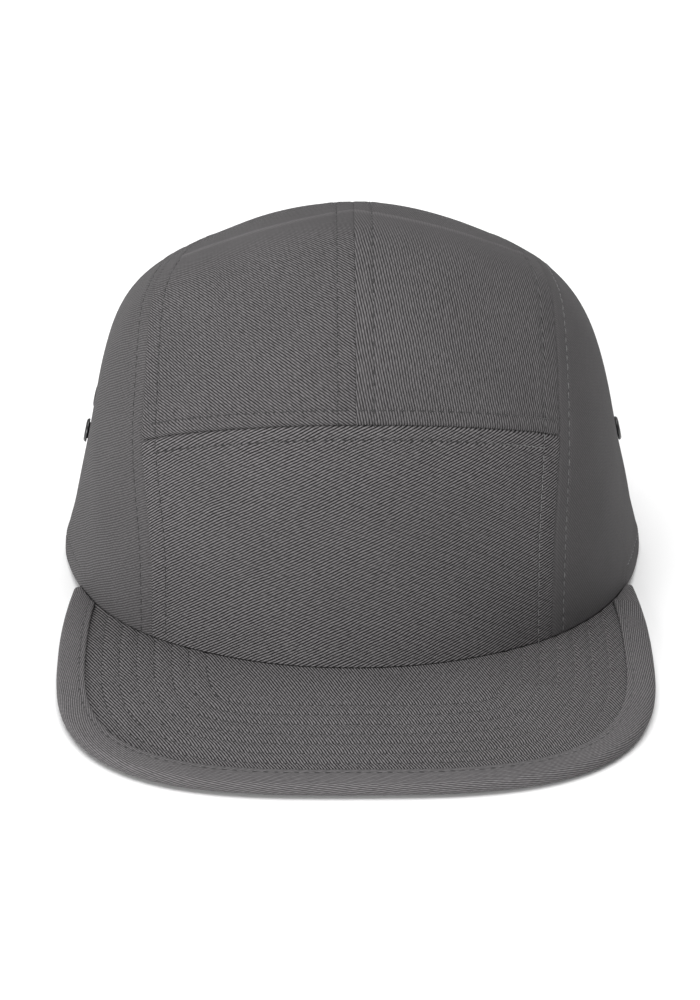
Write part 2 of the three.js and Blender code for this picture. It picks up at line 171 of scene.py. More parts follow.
lastSection = len(sideProfile) - 1
sections = np.linspace(0, 1, len(sideProfile))
frontSeamAlong = crown["frontSeamRow"] / lastSection
archFrom = crown["archRow"] / lastSection
centrePoints = [
    (
        reach * (crown["front"] if reach < 0 else crown["back"]),
        rise * crown["height"] if i else crown["brimSeamHeight"],
    )
    for i, (reach, rise, _) in enumerate(sideProfile)
]
centreSamples = 3001
centreTable = smoothLine(centrePoints, centreSamples)
centreAngles = np.arctan2(np.abs(centreTable[:, 1]), -centreTable[:, 0])
ribTurns, ribRims, ribTops = np.array(ribShape).T
strips = np.array(sideProfile)[:, 2]


def centreAt(along):
    at = np.clip(along, 0, 1) * (centreSamples - 1)
    steps = np.arange(centreSamples)
    return np.interp(at, steps, centreTable[:, 0]), np.interp(at, steps, centreTable[:, 1])


def ribScale(y, z, turn):
    overhead = np.clip(z / np.hypot(y, z), 0, 1) ** crown["ribSpread"]
    rim = smoothTable(ribTurns, ribRims, np.abs(turn))
    top = smoothTable(ribTurns, ribTops, np.abs(turn))
    return rim * (1 - overhead) + top * overhead


def crownPoint(along, turn):
    y, z = centreAt(along)
    scale = ribScale(y, z, turn)
    angle = np.radians(turn)
    inward = scale * np.cos(angle)
    return np.stack([halfCrown * scale * np.sin(angle), y * inward, z * inward], -1)


def crownMeasure(p):
    # 1 on the crown, over 1 outside it; it grows in step with the distance from the origin
    x, y, z = p[..., 0], p[..., 1], p[..., 2]
    angle = np.maximum(np.arctan2(np.abs(z), -y), centreAngles[0])
    cy = np.interp(angle, centreAngles, centreTable[:, 0])
    cz = np.interp(angle, centreAngles, centreTable[:, 1])
    inward = np.hypot(y, z) / np.hypot(cy, cz)
    turn = np.degrees(np.arctan2(np.abs(x) / halfCrown, inward))
    return np.hypot(x / halfCrown, inward) / ribScale(cy, cz, turn)


def onCrown(p):
    return p / crownMeasure(p)[..., None]


def unit(v):
    return v / np.maximum(np.linalg.norm(v, axis=-1, keepdims=True), 1e-12)


def crownNormal(p, step=0.2):
    slopes = [crownMeasure(p + step * axis) - crownMeasure(p - step * axis) for axis in np.eye(3)]
    return unit(np.stack(slopes, -1))


def solve(rising, low, high, shape=1, halvings=45):
    # where a rising function of an array reaches zero, between low and high
    low, high = np.full(shape, float(low)), np.full(shape, float(high))
    for _ in range(halvings):
        middle = (low + high) / 2
        below = rising(middle) < 0
        low, high = np.where(below, middle, low), np.where(below, high, middle)
    return (low + high) / 2


def stripTurn(along, side):
    # the turn of the side seam; side is 1 on the wearer's left
    along = np.asarray(along, float)
    ease = np.where(np.asarray(side) > 0, *(smoothTable(sections, seamEase[hand], along) for hand in hands))
    half = smoothTable(sections, strips, along) + ease / halfCrown
    y, z = centreAt(along)

    def beyondStrip(turn):
        return ribScale(y, z, turn) * np.sin(np.radians(turn)) - half

    return solve(beyondStrip, 0, turnLimits["seam"], along.shape)


def wornShape(p):
    # the crown's surface with its soft swellings
    rise = np.zeros(p.shape[:-1])
    for middle, height, reach in swellings:
        rise += height * np.exp(-(np.linalg.norm(p - np.array(middle), axis=-1) / reach) ** 2)
    return p + crownNormal(p) * rise[..., None]


def archEdge(x):
    return crown["archHeight"] * np.sqrt(np.clip(1 - (x / crown["archHalf"]) ** 2, 0, None))


def archAlong(turn):
    # where along the crown a turn comes down to the arch, or 1 where it misses it
    turn = np.asarray(turn, float)

    def below(along):
        p = crownPoint(along, turn)
        return archEdge(p[..., 0]) - p[..., 2]

    found = solve(below, archFrom, 1, turn.shape)
    misses = np.abs(crownPoint(np.ones_like(turn), turn)[..., 0]) >= crown["archHalf"]
    return np.where(misses, 1.0, found)


def frontSeam(across):
    return frontSeamAlong + crown["seamDip"] * across**2


def aroundCrown(compass, height):
    # the crown's outside at a compass angle, 0 at the front and 180 at the back
    compass, height = np.broadcast_arrays(np.asarray(compass, float), np.asarray(height, float))
    way = np.stack([np.sin(np.radians(compass)), -np.cos(np.radians(compass))], -1)

    def pointAt(out):
        return np.concatenate([way * out[..., None], height[..., None]], -1)

    return pointAt(solve(lambda out: crownMeasure(pointAt(out)) - 1, 1, farOut, compass.shape))


def behindCrown(compass, height, depth):
    p = aroundCrown(compass, height)
    n = crownNormal(p)
    level = np.hypot(n[..., 0], n[..., 1])
    way = np.stack([n[..., 0] / level, n[..., 1] / level, np.zeros_like(level)], -1)
    return p - way * (depth / level)[..., None]


# Node trees

def fill(tree, node, inputs):
    # each input's link or value, by its name or number
    for key, value in inputs.items():
        if isinstance(value, bpy.types.NodeSocket):
            tree.links.new(value, node.inputs[key])
        else:
            node.inputs[key].default_value = value


def place(tree, kind, settings=None, inputs=None):
    node = tree.nodes.new(kind)
    for key, value in (settings or {}).items():
        setattr(node, key, value)
    fill(tree, node, inputs or {})
    return node


def first(tree, kind, settings=None, inputs=None):
    # the first output of a new node
    return place(tree, kind, settings, inputs).outputs[0]


def maths(tree, operation, *values):
    return first(tree, "ShaderNodeMath", {"operation": operation}, dict(enumerate(values)))


def product(tree, *values):
    total = values[0]
    for value in values[1:]:
        total = maths(tree, "MULTIPLY", total, value)
    return total


def about(tree, value, amount, middle=0.0):
    # a value from 0 to 1 as a swing of the amount about the middle
    return maths(tree, "MULTIPLY_ADD", maths(tree, "SUBTRACT", value, 0.5), amount, middle)


def hill(tree, distance, width):
    # 1 at distance 0, falling away over the width
    share = maths(tree, "DIVIDE", distance, width)
    return maths(tree, "EXPONENT", product(tree, share, share, -1.0))


def vectors(tree, operation, *values, **scale):
    inputs = {**dict(enumerate(values)), **scale}
    return first(tree, "ShaderNodeVectorMath", {"operation": operation}, inputs)


def split(tree, vector):
    return place(tree, "ShaderNodeSeparateXYZ", None, {"Vector": vector}).outputs


def joined(tree, **parts):
    return first(tree, "ShaderNodeCombineXYZ", None, parts)


def attribute(tree, name, kind="FLOAT"):
    return first(tree, "GeometryNodeInputNamedAttribute", {"data_type": kind}, {"Name": name})


def position(tree):
    return first(tree, "GeometryNodeInputPosition")


def newTree(name, inputs):
    tree = bpy.data.node_groups.new(name, "GeometryNodeTree")
    sockets = tree.interface
    sockets.new_socket(name="Geometry", in_out="INPUT", socket_type="NodeSocketGeometry")
    for label, (kind, value) in inputs.items():
        socket = sockets.new_socket(name=label, in_out="INPUT", socket_type="NodeSocket" + kind)
        if value is not None:
            socket.default_value = value
    sockets.new_socket(name="Geometry", in_out="OUTPUT", socket_type="NodeSocketGeometry")
    return tree, tree.nodes.new("NodeGroupInput").outputs


def endTree(tree, given, geometry):
    real = first(tree, "GeometryNodeRealizeInstances", None, {"Geometry": geometry})
    smooth = first(tree, "GeometryNodeSetShadeSmooth", None, {"Geometry": real})
    dressed = first(tree, "GeometryNodeSetMaterial", None, {
        "Geometry": smooth, "Material": given["Material"],
    })
    place(tree, "NodeGroupOutput", None, {"Geometry": dressed})
    return tree


def settle(piece):
    # the modifiers' result as a plain mesh, with the modifiers gone
    bpy.context.view_layer.update()
    graph = bpy.context.evaluated_depsgraph_get()
    made = bpy.data.meshes.new_from_object(
        piece.evaluated_get(graph), preserve_all_data_layers=True, depsgraph=graph,
    )
    piece.modifiers.clear()
    old = piece.data
    piece.data = made
    made.name = piece.name
    bpy.data.meshes.remove(old)
    return piece


def runTree(piece, tree, values):
    modifier = piece.modifiers.new(tree.name, "NODES")
    modifier.node_group = tree
    for item in tree.interface.items_tree:
        if item.in_out == "INPUT" and item.name in values:
            modifier[item.identifier] = values[item.name]
    return settle(piece)


# Cloth that is folded and sewn: it dips into a seam, lies thicker over the folded allowance,
# and is drawn in along its stitch row. The attributes are in millimetres.
def clothReliefTree():
    tree, given = newTree("clothRelief", {
        "Measure": ("String", "from seam"),
        "Run": ("String", "along seam"),
        "Seam Depth": ("Float", 0.0),
        "Seam Width": ("Float", 0.6),
        "Fold Height": ("Float", 0.0),
        "Fold Width": ("Float", 5.0),
        "Fold Fade": ("Float", 1.5),  # where the fold has gone, in widths of the fold
        "Row Place": ("Float", 4.1),
        "Row Depth": ("Float", 0.0),
        "Row Width": ("Float", 0.5),
        "Pucker": ("Float", 0.0),
        "Pucker Pitch": ("Float", 5.6),
        "Pucker Width": ("Float", 2.2),
        "Wave Height": ("Float", 0.0),
        "Wave Size": ("Float", 34.0),
        "Seed": ("Float", 1.0),
        "Material": ("Material", None),
    })
    distance = attribute(tree, given["Measure"])
    seam = product(tree, hill(tree, distance, given["Seam Width"]), given["Seam Depth"])
    fold = first(tree, "ShaderNodeMapRange", {"interpolation_type": "SMOOTHSTEP"}, {
        "Value": distance, "From Min": given["Fold Width"],
        "From Max": product(tree, given["Fold Width"], given["Fold Fade"]),
        "To Min": given["Fold Height"], "To Max": 0.0,
    })
    fromRow = maths(tree, "SUBTRACT", distance, given["Row Place"])
    row = product(tree, hill(tree, fromRow, given["Row Width"]), given["Row Depth"])
    turns = maths(tree, "DIVIDE", attribute(tree, given["Run"]), given["Pucker Pitch"])
    drawn = maths(tree, "SINE", product(tree, turns, math.tau))
    pucker = product(tree, drawn, hill(tree, fromRow, given["Pucker Width"]), given["Pucker"])
    waves = first(tree, "ShaderNodeTexNoise", {"noise_dimensions": "4D"}, {
        "Vector": vectors(tree, "SCALE", position(tree), Scale=1000.0), "W": given["Seed"],
        "Scale": maths(tree, "DIVIDE", 1.0, given["Wave Size"]), "Detail": 1.5, "Roughness": 0.45,
    })
    rise = maths(tree, "SUBTRACT", maths(tree, "SUBTRACT", fold, seam), row)
    rise = about(tree, waves, given["Wave Height"], maths(tree, "ADD", rise, pucker))
    normal = first(tree, "GeometryNodeInputNormal")
    moved = first(tree, "GeometryNodeSetPosition", None, {
        "Geometry": given["Geometry"],
        "Offset": vectors(tree, "SCALE", normal, Scale=product(tree, rise, 0.001)),
    })
    x, y, z = split(tree, position(tree))
    rested = first(tree, "GeometryNodeSetPosition", None, {
        "Geometry": moved,
        "Position": joined(tree, X=x, Y=y, Z=maths(tree, "MAXIMUM", z, 0.0)),  # not into the table
    })
    return endTree(tree, given, rested)


# Stitches: a short arched thread at every pitch along the rails, dropped on to the cloth.
def stitchTree():
    tree, given = newTree("stitchRow", {
        "Cloth": ("Object", None),
        "Pitch": ("Float", 0.0028),
        "Stitch Length": ("Float", 0.0021),
        "Thread Radius": ("Float", 0.00018),
        "Thread Sides": ("Int", 6),
        "Arch": ("Float", 0.00034),
        "Arch Steps": ("Int", 5),
        "Sink": ("Float", 0.00022),
        "Drop": ("Float", 0.02),
        "Wander": ("Float", 0.06),
        "Seed": ("Int", 3),
        "Material": ("Material", None),
    })
    rails = first(tree, "GeometryNodeMeshToCurve", None, {"Mesh": given["Geometry"]})
    spots = place(tree, "GeometryNodeCurveToPoints", {"mode": "LENGTH"}, {
        "Curve": rails, "Length": given["Pitch"],
    }).outputs
    inward = attribute(tree, "inward", "FLOAT_VECTOR")
    cloth = place(tree, "GeometryNodeObjectInfo", {"transform_space": "ORIGINAL"}, {
        "Object": given["Cloth"],
    })
    ray = place(tree, "GeometryNodeRaycast", None, {
        "Target Geometry": cloth.outputs["Geometry"], "Ray Direction": inward,
        "Ray Length": given["Drop"],
    }).outputs
    kept = first(tree, "GeometryNodeDeleteGeometry", None, {
        "Geometry": spots["Points"],
        "Selection": first(tree, "FunctionNodeBooleanMath", {"operation": "NOT"}, {0: ray["Is Hit"]}),
    })
    landed = first(tree, "GeometryNodeSetPosition", None, {
        "Geometry": kept, "Position": ray["Hit Position"],
    })
    half = product(tree, given["Stitch Length"], 0.5)
    low = product(tree, given["Sink"], -1.0)
    thread = first(tree, "GeometryNodeCurveToMesh", None, {
        "Curve": first(tree, "GeometryNodeCurveQuadraticBezier", None, {
            "Resolution": given["Arch Steps"], "Start": joined(tree, X=product(tree, half, -1.0), Z=low),
            "Middle": joined(tree, Z=given["Arch"]), "End": joined(tree, X=half, Z=low),
        }),
        "Profile Curve": first(tree, "GeometryNodeCurvePrimitiveCircle", None, {
            "Resolution": given["Thread Sides"], "Radius": given["Thread Radius"],
        }),
        "Fill Caps": True,
    })
    astray = first(tree, "FunctionNodeRandomValue", {"data_type": "FLOAT_VECTOR"}, {
        0: (-1, -1, -1), 1: (1, 1, 1), "Seed": given["Seed"],
    })
    wander = vectors(tree, "SCALE", astray, Scale=given["Wander"])
    turned = first(tree, "FunctionNodeAxesToRotation", {"primary_axis": "Z", "secondary_axis": "X"}, {
        0: vectors(tree, "SCALE", inward, Scale=-1.0), 1: vectors(tree, "ADD", spots["Tangent"], wander),
    })
    sewn = first(tree, "GeometryNodeInstanceOnPoints", None, {
        "Points": landed, "Instance": thread, "Rotation": turned,
    })
    return endTree(tree, given, sewn)


clothRelief = clothReliefTree()
stitchRow = stitchTree()


# Materials

def newMaterial(name):
    material = bpy.data.materials.new(name)
    material.use_nodes = True
    tree = material.node_tree
    tree.nodes.clear()
    shader = tree.nodes.new("ShaderNodeBsdfPrincipled")
    place(tree, "ShaderNodeOutputMaterial", None, {"Surface": shader.outputs[0]})
    return material, tree, shader


def noise(tree, where, scale, detail):
    return place(tree, "ShaderNodeTexNoise", None, {
        "Vector": where, "Scale": scale, "Detail": detail,
    }).outputs


def mixed(tree, amount, low, high, blend="MIX"):
    # two colours, each as three numbers or as a link
    low, high = ((*end, 1) if isinstance(end, tuple) else end for end in (low, high))
    settings = {"data_type": "RGBA", "blend_type": blend}
    return place(tree, "ShaderNodeMix", settings, {"Factor": amount, 6: low, 7: high}).outputs[2]


def bump(tree, height, strength, distance):
    return first(tree, "ShaderNodeBump", None, {
        "Strength": strength, "Distance": distance, "Height": height,
    })


twill = {
    # the groove's near-black colour is painted shade in the weave's grooves
    "groove": (0.0036, 0.0034, 0.0036),
    "rib": (0.182, 0.1737, 0.1776),
    "pitch": 0.75,  # from one slanted rib to the next
    "float": 1.9,  # length of one float along a rib
    "floatStep": 0.37,  # how far each rib's floats start past the last rib's
    "bead": 0.12,  # how far a rib sinks between its floats
    "drift": 0.5,  # how far the ribs wander
    "driftNoise": (0.07, 2.0),  # scale and detail, as in the next three
    "yarn": 0.5,  # how uneven the yarn lies
    "yarnNoise": (1.1, 1.0),
    "patch": 0.22,  # paler and darker patches
    "patchNoise": (0.045, 3.0),
    "fleck": 0.18,
    "fleckNoise": (1.6, 2.0),
    "relief": 0.00012,
    "bump": 0.5,
    "roughness": (-0.08, 0.96),  # change from groove to rib, and the groove's own
    "sheen": 0.015,
    "sheenRoughness": 0.5,
    "specular": 0.2,
    "rub": 0.85,
    "rubWidth": 13.0,
    # width and strength of the painted highlight along the crease
    "creaseWidth": 1.0,
    "creaseHighlight": 0.3,
}


def twillCloth(name, angle, contrast=1.0, pitch=twill["pitch"], bow=0.0, creaseSmoothAndLit=False, paintedShading=1.0):
    # slanted ribs at an angle to the cloth's own map; bow bends them across the panel; paintedShading scales
    # the colour by painted light or shade
    material, tree, shader = newMaterial(name)
    cloth = first(tree, "ShaderNodeUVMap", {"uv_map": "cloth"})
    wide = vectors(tree, "SUBTRACT", noise(tree, cloth, *twill["driftNoise"])["Color"], (0.5, 0.5, 0.5))
    moved = vectors(tree, "ADD", cloth, vectors(tree, "SCALE", wide, Scale=twill["drift"] * 2))
    if bow:
        across = split(tree, moved)[0]
        moved = vectors(tree, "ADD", moved, joined(tree, Y=product(tree, across, across, -bow)))
    slanted = first(tree, "ShaderNodeMapping", {"vector_type": "TEXTURE"}, {
        "Vector": moved, "Rotation": (0, 0, math.radians(angle)), "Scale": (twill["float"], pitch, 1),
    })
    along, across, _ = split(tree, slanted)
    ridge = maths(tree, "MULTIPLY_ADD", maths(tree, "COSINE", product(tree, across, math.tau)), -0.5, 0.5)
    start = maths(tree, "MULTIPLY_ADD", maths(tree, "FLOOR", across), twill["floatStep"], along)
    bead = maths(tree, "COSINE", product(tree, start, math.tau))
    beaded = product(tree, ridge, maths(tree, "MULTIPLY_ADD", bead, twill["bead"], 1 - twill["bead"]))
    height = about(tree, noise(tree, slanted, *twill["yarnNoise"])[0], twill["yarn"], beaded)
    if creaseSmoothAndLit:  # smooth round the crease, with a painted highlight along it
        fromCrease = place(tree, "ShaderNodeAttribute", {"attribute_name": "from crease"}).outputs["Fac"]
        smooth = product(tree, hill(tree, fromCrease, twill["rubWidth"]), twill["rub"])
        contrast = product(tree, maths(tree, "SUBTRACT", 1.0, smooth), contrast)
        paintedHighlight = hill(tree, fromCrease, twill["creaseWidth"])
        paintedShading = maths(tree, "MULTIPLY_ADD", paintedHighlight, twill["creaseHighlight"], paintedShading)
    shown = first(tree, "ShaderNodeClamp", None, {"Value": about(tree, height, contrast, 0.5)})
    tone = about(tree, noise(tree, cloth, *twill["patchNoise"])[0], twill["patch"], paintedShading)
    tone = about(tree, noise(tree, cloth, *twill["fleckNoise"])[0], twill["fleck"], tone)
    # from the groove's painted shade to the rib's colour
    colour = mixed(tree, shown, twill["groove"], twill["rib"])
    fill(tree, shader, {
        "Base Color": mixed(tree, 1.0, colour, tone, "MULTIPLY"),
        "Roughness": maths(tree, "MULTIPLY_ADD", shown, *twill["roughness"]),
        "Normal": bump(tree, height, twill["bump"], twill["relief"]),
        "Sheen Weight": twill["sheen"],
        "Sheen Roughness": twill["sheenRoughness"],
        "Specular IOR Level": twill["specular"],
    })
    return material


threads = {
    # painted shade for stitches sunk in their furrows, and a painted highlight towards the wearer's left
    "shadedTwist": ((0.014, 0.0136, 0.014), (0.045, 0.0435, 0.044)),
    "highlightTwistLow": (0.06, 0.058, 0.059),
    "highlightBetween": (0.035, 0.05),  # metres towards the wearer's left
    "twistNoise": (1400.0, 2.0),
    "relief": 0.00005,
    "bump": 0.4,
    "roughness": 0.75,
    "sheen": 0.1,
}


def threadMaterial(name, palest):
    # one thread in painted light and shade: dark with painted shade over most of the cap, as if sunk in its
    # furrows, and paler with a painted highlight towards the wearer's left
    material, tree, shader = newMaterial(name)
    where = place(tree, "ShaderNodeTexCoord").outputs["Object"]
    twist = noise(tree, where, *threads["twistNoise"])[0]
    start, end = threads["highlightBetween"]
    highlightShare = first(tree, "ShaderNodeMapRange", None, {
        "Value": split(tree, where)[0], "From Min": start, "From Max": end,
    })
    dark = mixed(tree, twist, *threads["shadedTwist"])
    pale = mixed(tree, twist, threads["highlightTwistLow"], (palest, palest, palest))
    fill(tree, shader, {
        "Base Color": mixed(tree, highlightShare, dark, pale),
        "Normal": bump(tree, twist, threads["bump"], threads["relief"]),
        "Roughness": threads["roughness"],
        "Sheen Weight": threads["sheen"],
    })
    return material


tape = {
    "groove": (0.018, 0.018, 0.018),
    "rib": (0.085, 0.083, 0.085),
    "chevron": 2.5,  # half the width of a chevron
    "ribPitch": 1.1,
    "yarnPitch": 0.6,
    "yarn": 0.15,
    "relief": 0.0002,
    "bump": 0.7,
    "roughness": 0.8,
    "sheen": 0.1,
}


def webbingMaterial():
    # a woven tape: crosswise ribs with a chevron of floats
    material, tree, shader = newMaterial("dark grey webbing")
    along, across, _ = split(tree, first(tree, "ShaderNodeUVMap", {"uv_map": "cloth"}))
    slant = maths(tree, "ADD", along, maths(tree, "PINGPONG", across, tape["chevron"]))
    run = product(tree, slant, math.tau / tape["ribPitch"])
    ribs = maths(tree, "MULTIPLY_ADD", maths(tree, "SINE", run), 0.5, 0.5)
    yarns = maths(tree, "SINE", product(tree, across, math.tau / tape["yarnPitch"]))
    height = maths(tree, "MULTIPLY_ADD", yarns, tape["yarn"], ribs)
    fill(tree, shader, {
        "Base Color": mixed(tree, height, tape["groove"], tape["rib"]),
        "Normal": bump(tree, height, tape["bump"], tape["relief"]),
        "Roughness": tape["roughness"],
        "Sheen Weight": tape["sheen"],
    })
    return material


# noises as scale and detail; roughness as its swing and its least
hardFinishes = {
    "black moulded plastic": {
        "dark": (0.012, 0.012, 0.013), "light": (0.024, 0.024, 0.026), "wearNoise": (90.0, 2.0),
        "grainNoise": (2200.0, 3.0), "roughness": (0.15, 0.36), "bump": (0.25, 0.00006), "coat": {},
    },
    "black lacquered metal": {
        "dark": (0.006, 0.006, 0.007), "light": (0.022, 0.022, 0.023), "wearNoise": (700.0, 4.0),
        "grainNoise": (700.0, 4.0), "roughness": (0.2, 0.24), "bump": (0.15, 0.00005),
        "coat": {"Coat Weight": 0.3, "Coat Roughness": 0.2},
    },
}


def hardMaterial(name):
    material, tree, shader = newMaterial(name)
    look = hardFinishes[name]
    where = place(tree, "ShaderNodeTexCoord").outputs["Object"]
    wear = noise(tree, where, *look["wearNoise"])[0]
    grain = noise(tree, where, *look["grainNoise"])[0]
    fill(tree, shader, {
        "Base Color": mixed(tree, wear, look["dark"], look["light"]),
        "Roughness": maths(tree, "MULTIPLY_ADD", wear, *look["roughness"]),
        "Normal": bump(tree, grain, *look["bump"]),
        **look["coat"],
    })
    return material


# one grey twill in lit and shaded copies: each panel's paintedShading is painted light or shade for how light
# falls on it, and its contrast sets how much painted groove shade shows
cloths = {
    "front": twillCloth("front panel twill", angle=26, contrast=1.15, bow=-0.00104, paintedShading=1.02),
    "topRight": twillCloth(
        "right top panel twill", angle=-36, contrast=0.9, pitch=0.7, creaseSmoothAndLit=True, paintedShading=0.91,
    ),
    "topLeft": twillCloth(
        "left top panel twill", angle=-79, contrast=0.82, pitch=0.74, creaseSmoothAndLit=True, paintedShading=0.92,
    ),
    "sideRight": twillCloth("right side panel twill", angle=23, contrast=0.5, paintedShading=0.9),
    "sideLeft": twillCloth("left side panel twill", angle=-50, contrast=0.22, paintedShading=0.84),
    "brim": twillCloth("brim twill", angle=-66, contrast=1.15, pitch=0.76, paintedShading=1.04),
    "binding": twillCloth("bias binding twill", angle=8, contrast=0.65, pitch=0.6, paintedShading=1.2),
    "band": twillCloth("sweatband twill", angle=45, contrast=0.6, pitch=0.6),
}
# both stand for one grey thread: their darkness is painted shade, and the first has a stronger painted
# highlight towards the wearer's left
thread = threadMaterial("grey sewing thread", 0.2)
shadedThread = threadMaterial("dark grey sewing thread", 0.06)
webbing = webbingMaterial()
moulded = hardMaterial("black moulded plastic")
lacquer = hardMaterial("black lacquered metal")
print("materials made")


# Meshes

def toFrame(points):
    return (np.asarray(points, float) + [0, shiftY, 0]) / 1000


def newPiece(name, vertices, faces, edges=()):
    mesh = bpy.data.meshes.new(name)
    mesh.from_pydata(toFrame(vertices), edges, faces)
    piece = bpy.data.objects.new(name, mesh)
    bpy.context.scene.collection.objects.link(piece)
    return piece


def readPlaces(mesh):
    places = np.zeros(len(mesh.vertices) * 3, np.float32)
    mesh.vertices.foreach_get("co", places)
    return places.reshape(-1, 3).astype(float)


def giveValues(mesh, name, values, kind="FLOAT"):
    layer = mesh.attributes.new(name, kind, "POINT")
    part = "value" if kind == "FLOAT" else "vector"
    layer.data.foreach_set(part, np.asarray(values, np.float32).ravel())


def giveMap(mesh, places):
    # the cloth's own map, in millimetres
    corners = np.zeros(len(mesh.loops), np.int32)
    mesh.loops.foreach_get("vertex_index", corners)
    layer = mesh.uv_layers.new(name="cloth")
    layer.uv.foreach_set("vector", places.reshape(-1, 2)[corners].astype(np.float32).ravel())


def gridFaces(shape, outside=True, aroundRows=False, aroundColumns=False):
    # one face in each cell of a grid of points; around joins the last ones to the first
    rows, columns = shape[:2]
    number = np.arange(rows * columns).reshape(rows, columns)
    if aroundRows:
        number = np.vstack([number, number[:1]])
    if aroundColumns:
        number = np.hstack([number, number[:, :1]])
    a, b, c, d = number[:-1, :-1], number[:-1, 1:], number[1:, 1:], number[1:, :-1]
    return np.stack([a, b, c, d] if outside else [a, d, c, b], -1).reshape(-1, 4).tolist()


def gridPiece(name, points, places, outside=True, around=False):
    piece = newPiece(name, points.reshape(-1, 3), gridFaces(points.shape, outside, around))
    giveMap(piece.data, places)
    return piece


def editMesh(piece, change):
    work = bmesh.new()
    work.from_mesh(piece.data)
    work.verts.ensure_lookup_table()
    change(work)
    work.to_mesh(piece.data)
    work.free()


def facesOutwards(work):
    bmesh.ops.recalc_face_normals(work, faces=work.faces)


def lengthsAlong(points, axis):
    steps = np.linalg.norm(np.diff(points, axis=axis), axis=-1)
    start = np.zeros_like(np.take(steps, [0], axis=axis))
    return np.cumsum(np.concatenate([start, steps], axis=axis), axis=axis)


def pointsAt(line, run, at):
    # points of a line at given lengths along it
    return np.stack([np.interp(at, run, part) for part in line.T], -1)


def spaced(line, shares):
    run = lengthsAlong(line, 0)
    return pointsAt(line, run, shares * run[-1])


def dense(line, step=0.4):
    # a line with points at an even step
    run = lengthsAlong(line, 0)
    return pointsAt(line, run, np.linspace(0, run[-1], max(int(run[-1] / step), 2)))


def crowded(count, share=0.55):
    # places from 0 to 1, closer together near both ends
    s = np.linspace(0, 1, count)
    return s - share * np.sin(math.tau * s) / math.tau


def nearest(points, lines):
    # distance to the nearest of several lines, and how far along it
    tree = KDTree(sum(len(line) for line in lines))
    for number, p in enumerate(np.vstack(lines)):
        tree.insert(p, number)
    tree.balance()
    runs = np.concatenate([lengthsAlong(line, 0) for line in lines])
    number, distance = np.array([tree.find(p)[1:] for p in points.reshape(-1, 3)]).T
    return distance, runs[number.astype(int)]


def giveWall(piece, wall):
    # the cloth's thickness on its inner side, cut off level with the table
    modifier = piece.modifiers.new("wall", "SOLIDIFY")
    modifier.thickness = wall / 1000
    modifier.offset = -1
    modifier.use_even_offset = False
    mesh = settle(piece).data
    places = readPlaces(mesh)
    places[:, 2] = np.maximum(places[:, 2], 0)
    mesh.vertices.foreach_set("co", places.astype(np.float32).ravel())
    mesh.update()


def dress(piece, slotName, *nodes):
    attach(piece, "root")
    if nodes:
        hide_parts(*nodes)


# Lines of the crown, for seams and stitch rows

# how many points each line is worked out at, before it gets an even step
samples = {"side": 900, "centre": 500, "front": 400, "arch": 1200, "crease": 400, "rim": 300}
crease = {"along": 0.495, "dip": 0.032, "turn": 33.0}
alongs = np.linspace(0, 1, samples["side"])


def sideSeamLine(side):
    line = crownPoint(alongs, side * stripTurn(alongs, side))
    kept = line[:, 2] >= archEdge(line[:, 0]) - 1e-6
    kept |= alongs < archFrom
    return dense(line[kept])


def centreSeamLine():
    end = float(archAlong(np.array([0.0]))[0])
    along = np.linspace(frontSeamAlong, end, samples["centre"])
    return dense(crownPoint(along, np.zeros_like(along)))


def frontSeamLine():
    across = np.linspace(-1, 1, samples["front"])
    along = frontSeam(across)
    return dense(crownPoint(along, across * stripTurn(along, across)))


def archLine():
    turn = np.linspace(-crown["archTurn"], crown["archTurn"], samples["arch"])
    along = archAlong(turn)
    line = crownPoint(along, turn)
    return dense(line[along < 1 - 1e-9])


def creaseLine():
    # a soft fold across both top panels, where the crown turns over
    turn = np.linspace(-crease["turn"], crease["turn"], samples["crease"])
    along = crease["along"] - crease["dip"] * np.sin(math.pi * np.abs(turn) / crease["turn"])
    return dense(crownPoint(along, turn))


def footOfArch():
    # the turn at which the back rim meets the arch
    def outside(turn):
        return crownPoint(np.ones_like(turn), turn)[..., 0] - crown["archHalf"]

    return float(solve(outside, 0, turnLimits["foot"])[0])


def rimLine(side):
    start = float(stripTurn(np.zeros(1), side)[0])
    ahead = np.linspace(start, 90, samples["rim"])
    behind = np.linspace(90, footTurn, samples["rim"])[1:]
    return dense(np.vstack([
        crownPoint(np.zeros_like(ahead), side * ahead),
        crownPoint(np.ones_like(behind), side * behind),
    ]))


footTurn = footOfArch()
sideSeams = {side: sideSeamLine(side) for side in hands}
rims = {side: rimLine(side) for side in hands}
centreSeam = centreSeamLine()
frontSeamPath = frontSeamLine()
archPath = archLine()
creasePath = creaseLine()
brimEnd = crownPoint(np.zeros(1), np.full(1, brim["endTurn"]))[0]
openRims = {side: rim[rim[:, 1] > brimEnd[1] + brim["hemBehind"]] for side, rim in rims.items()}

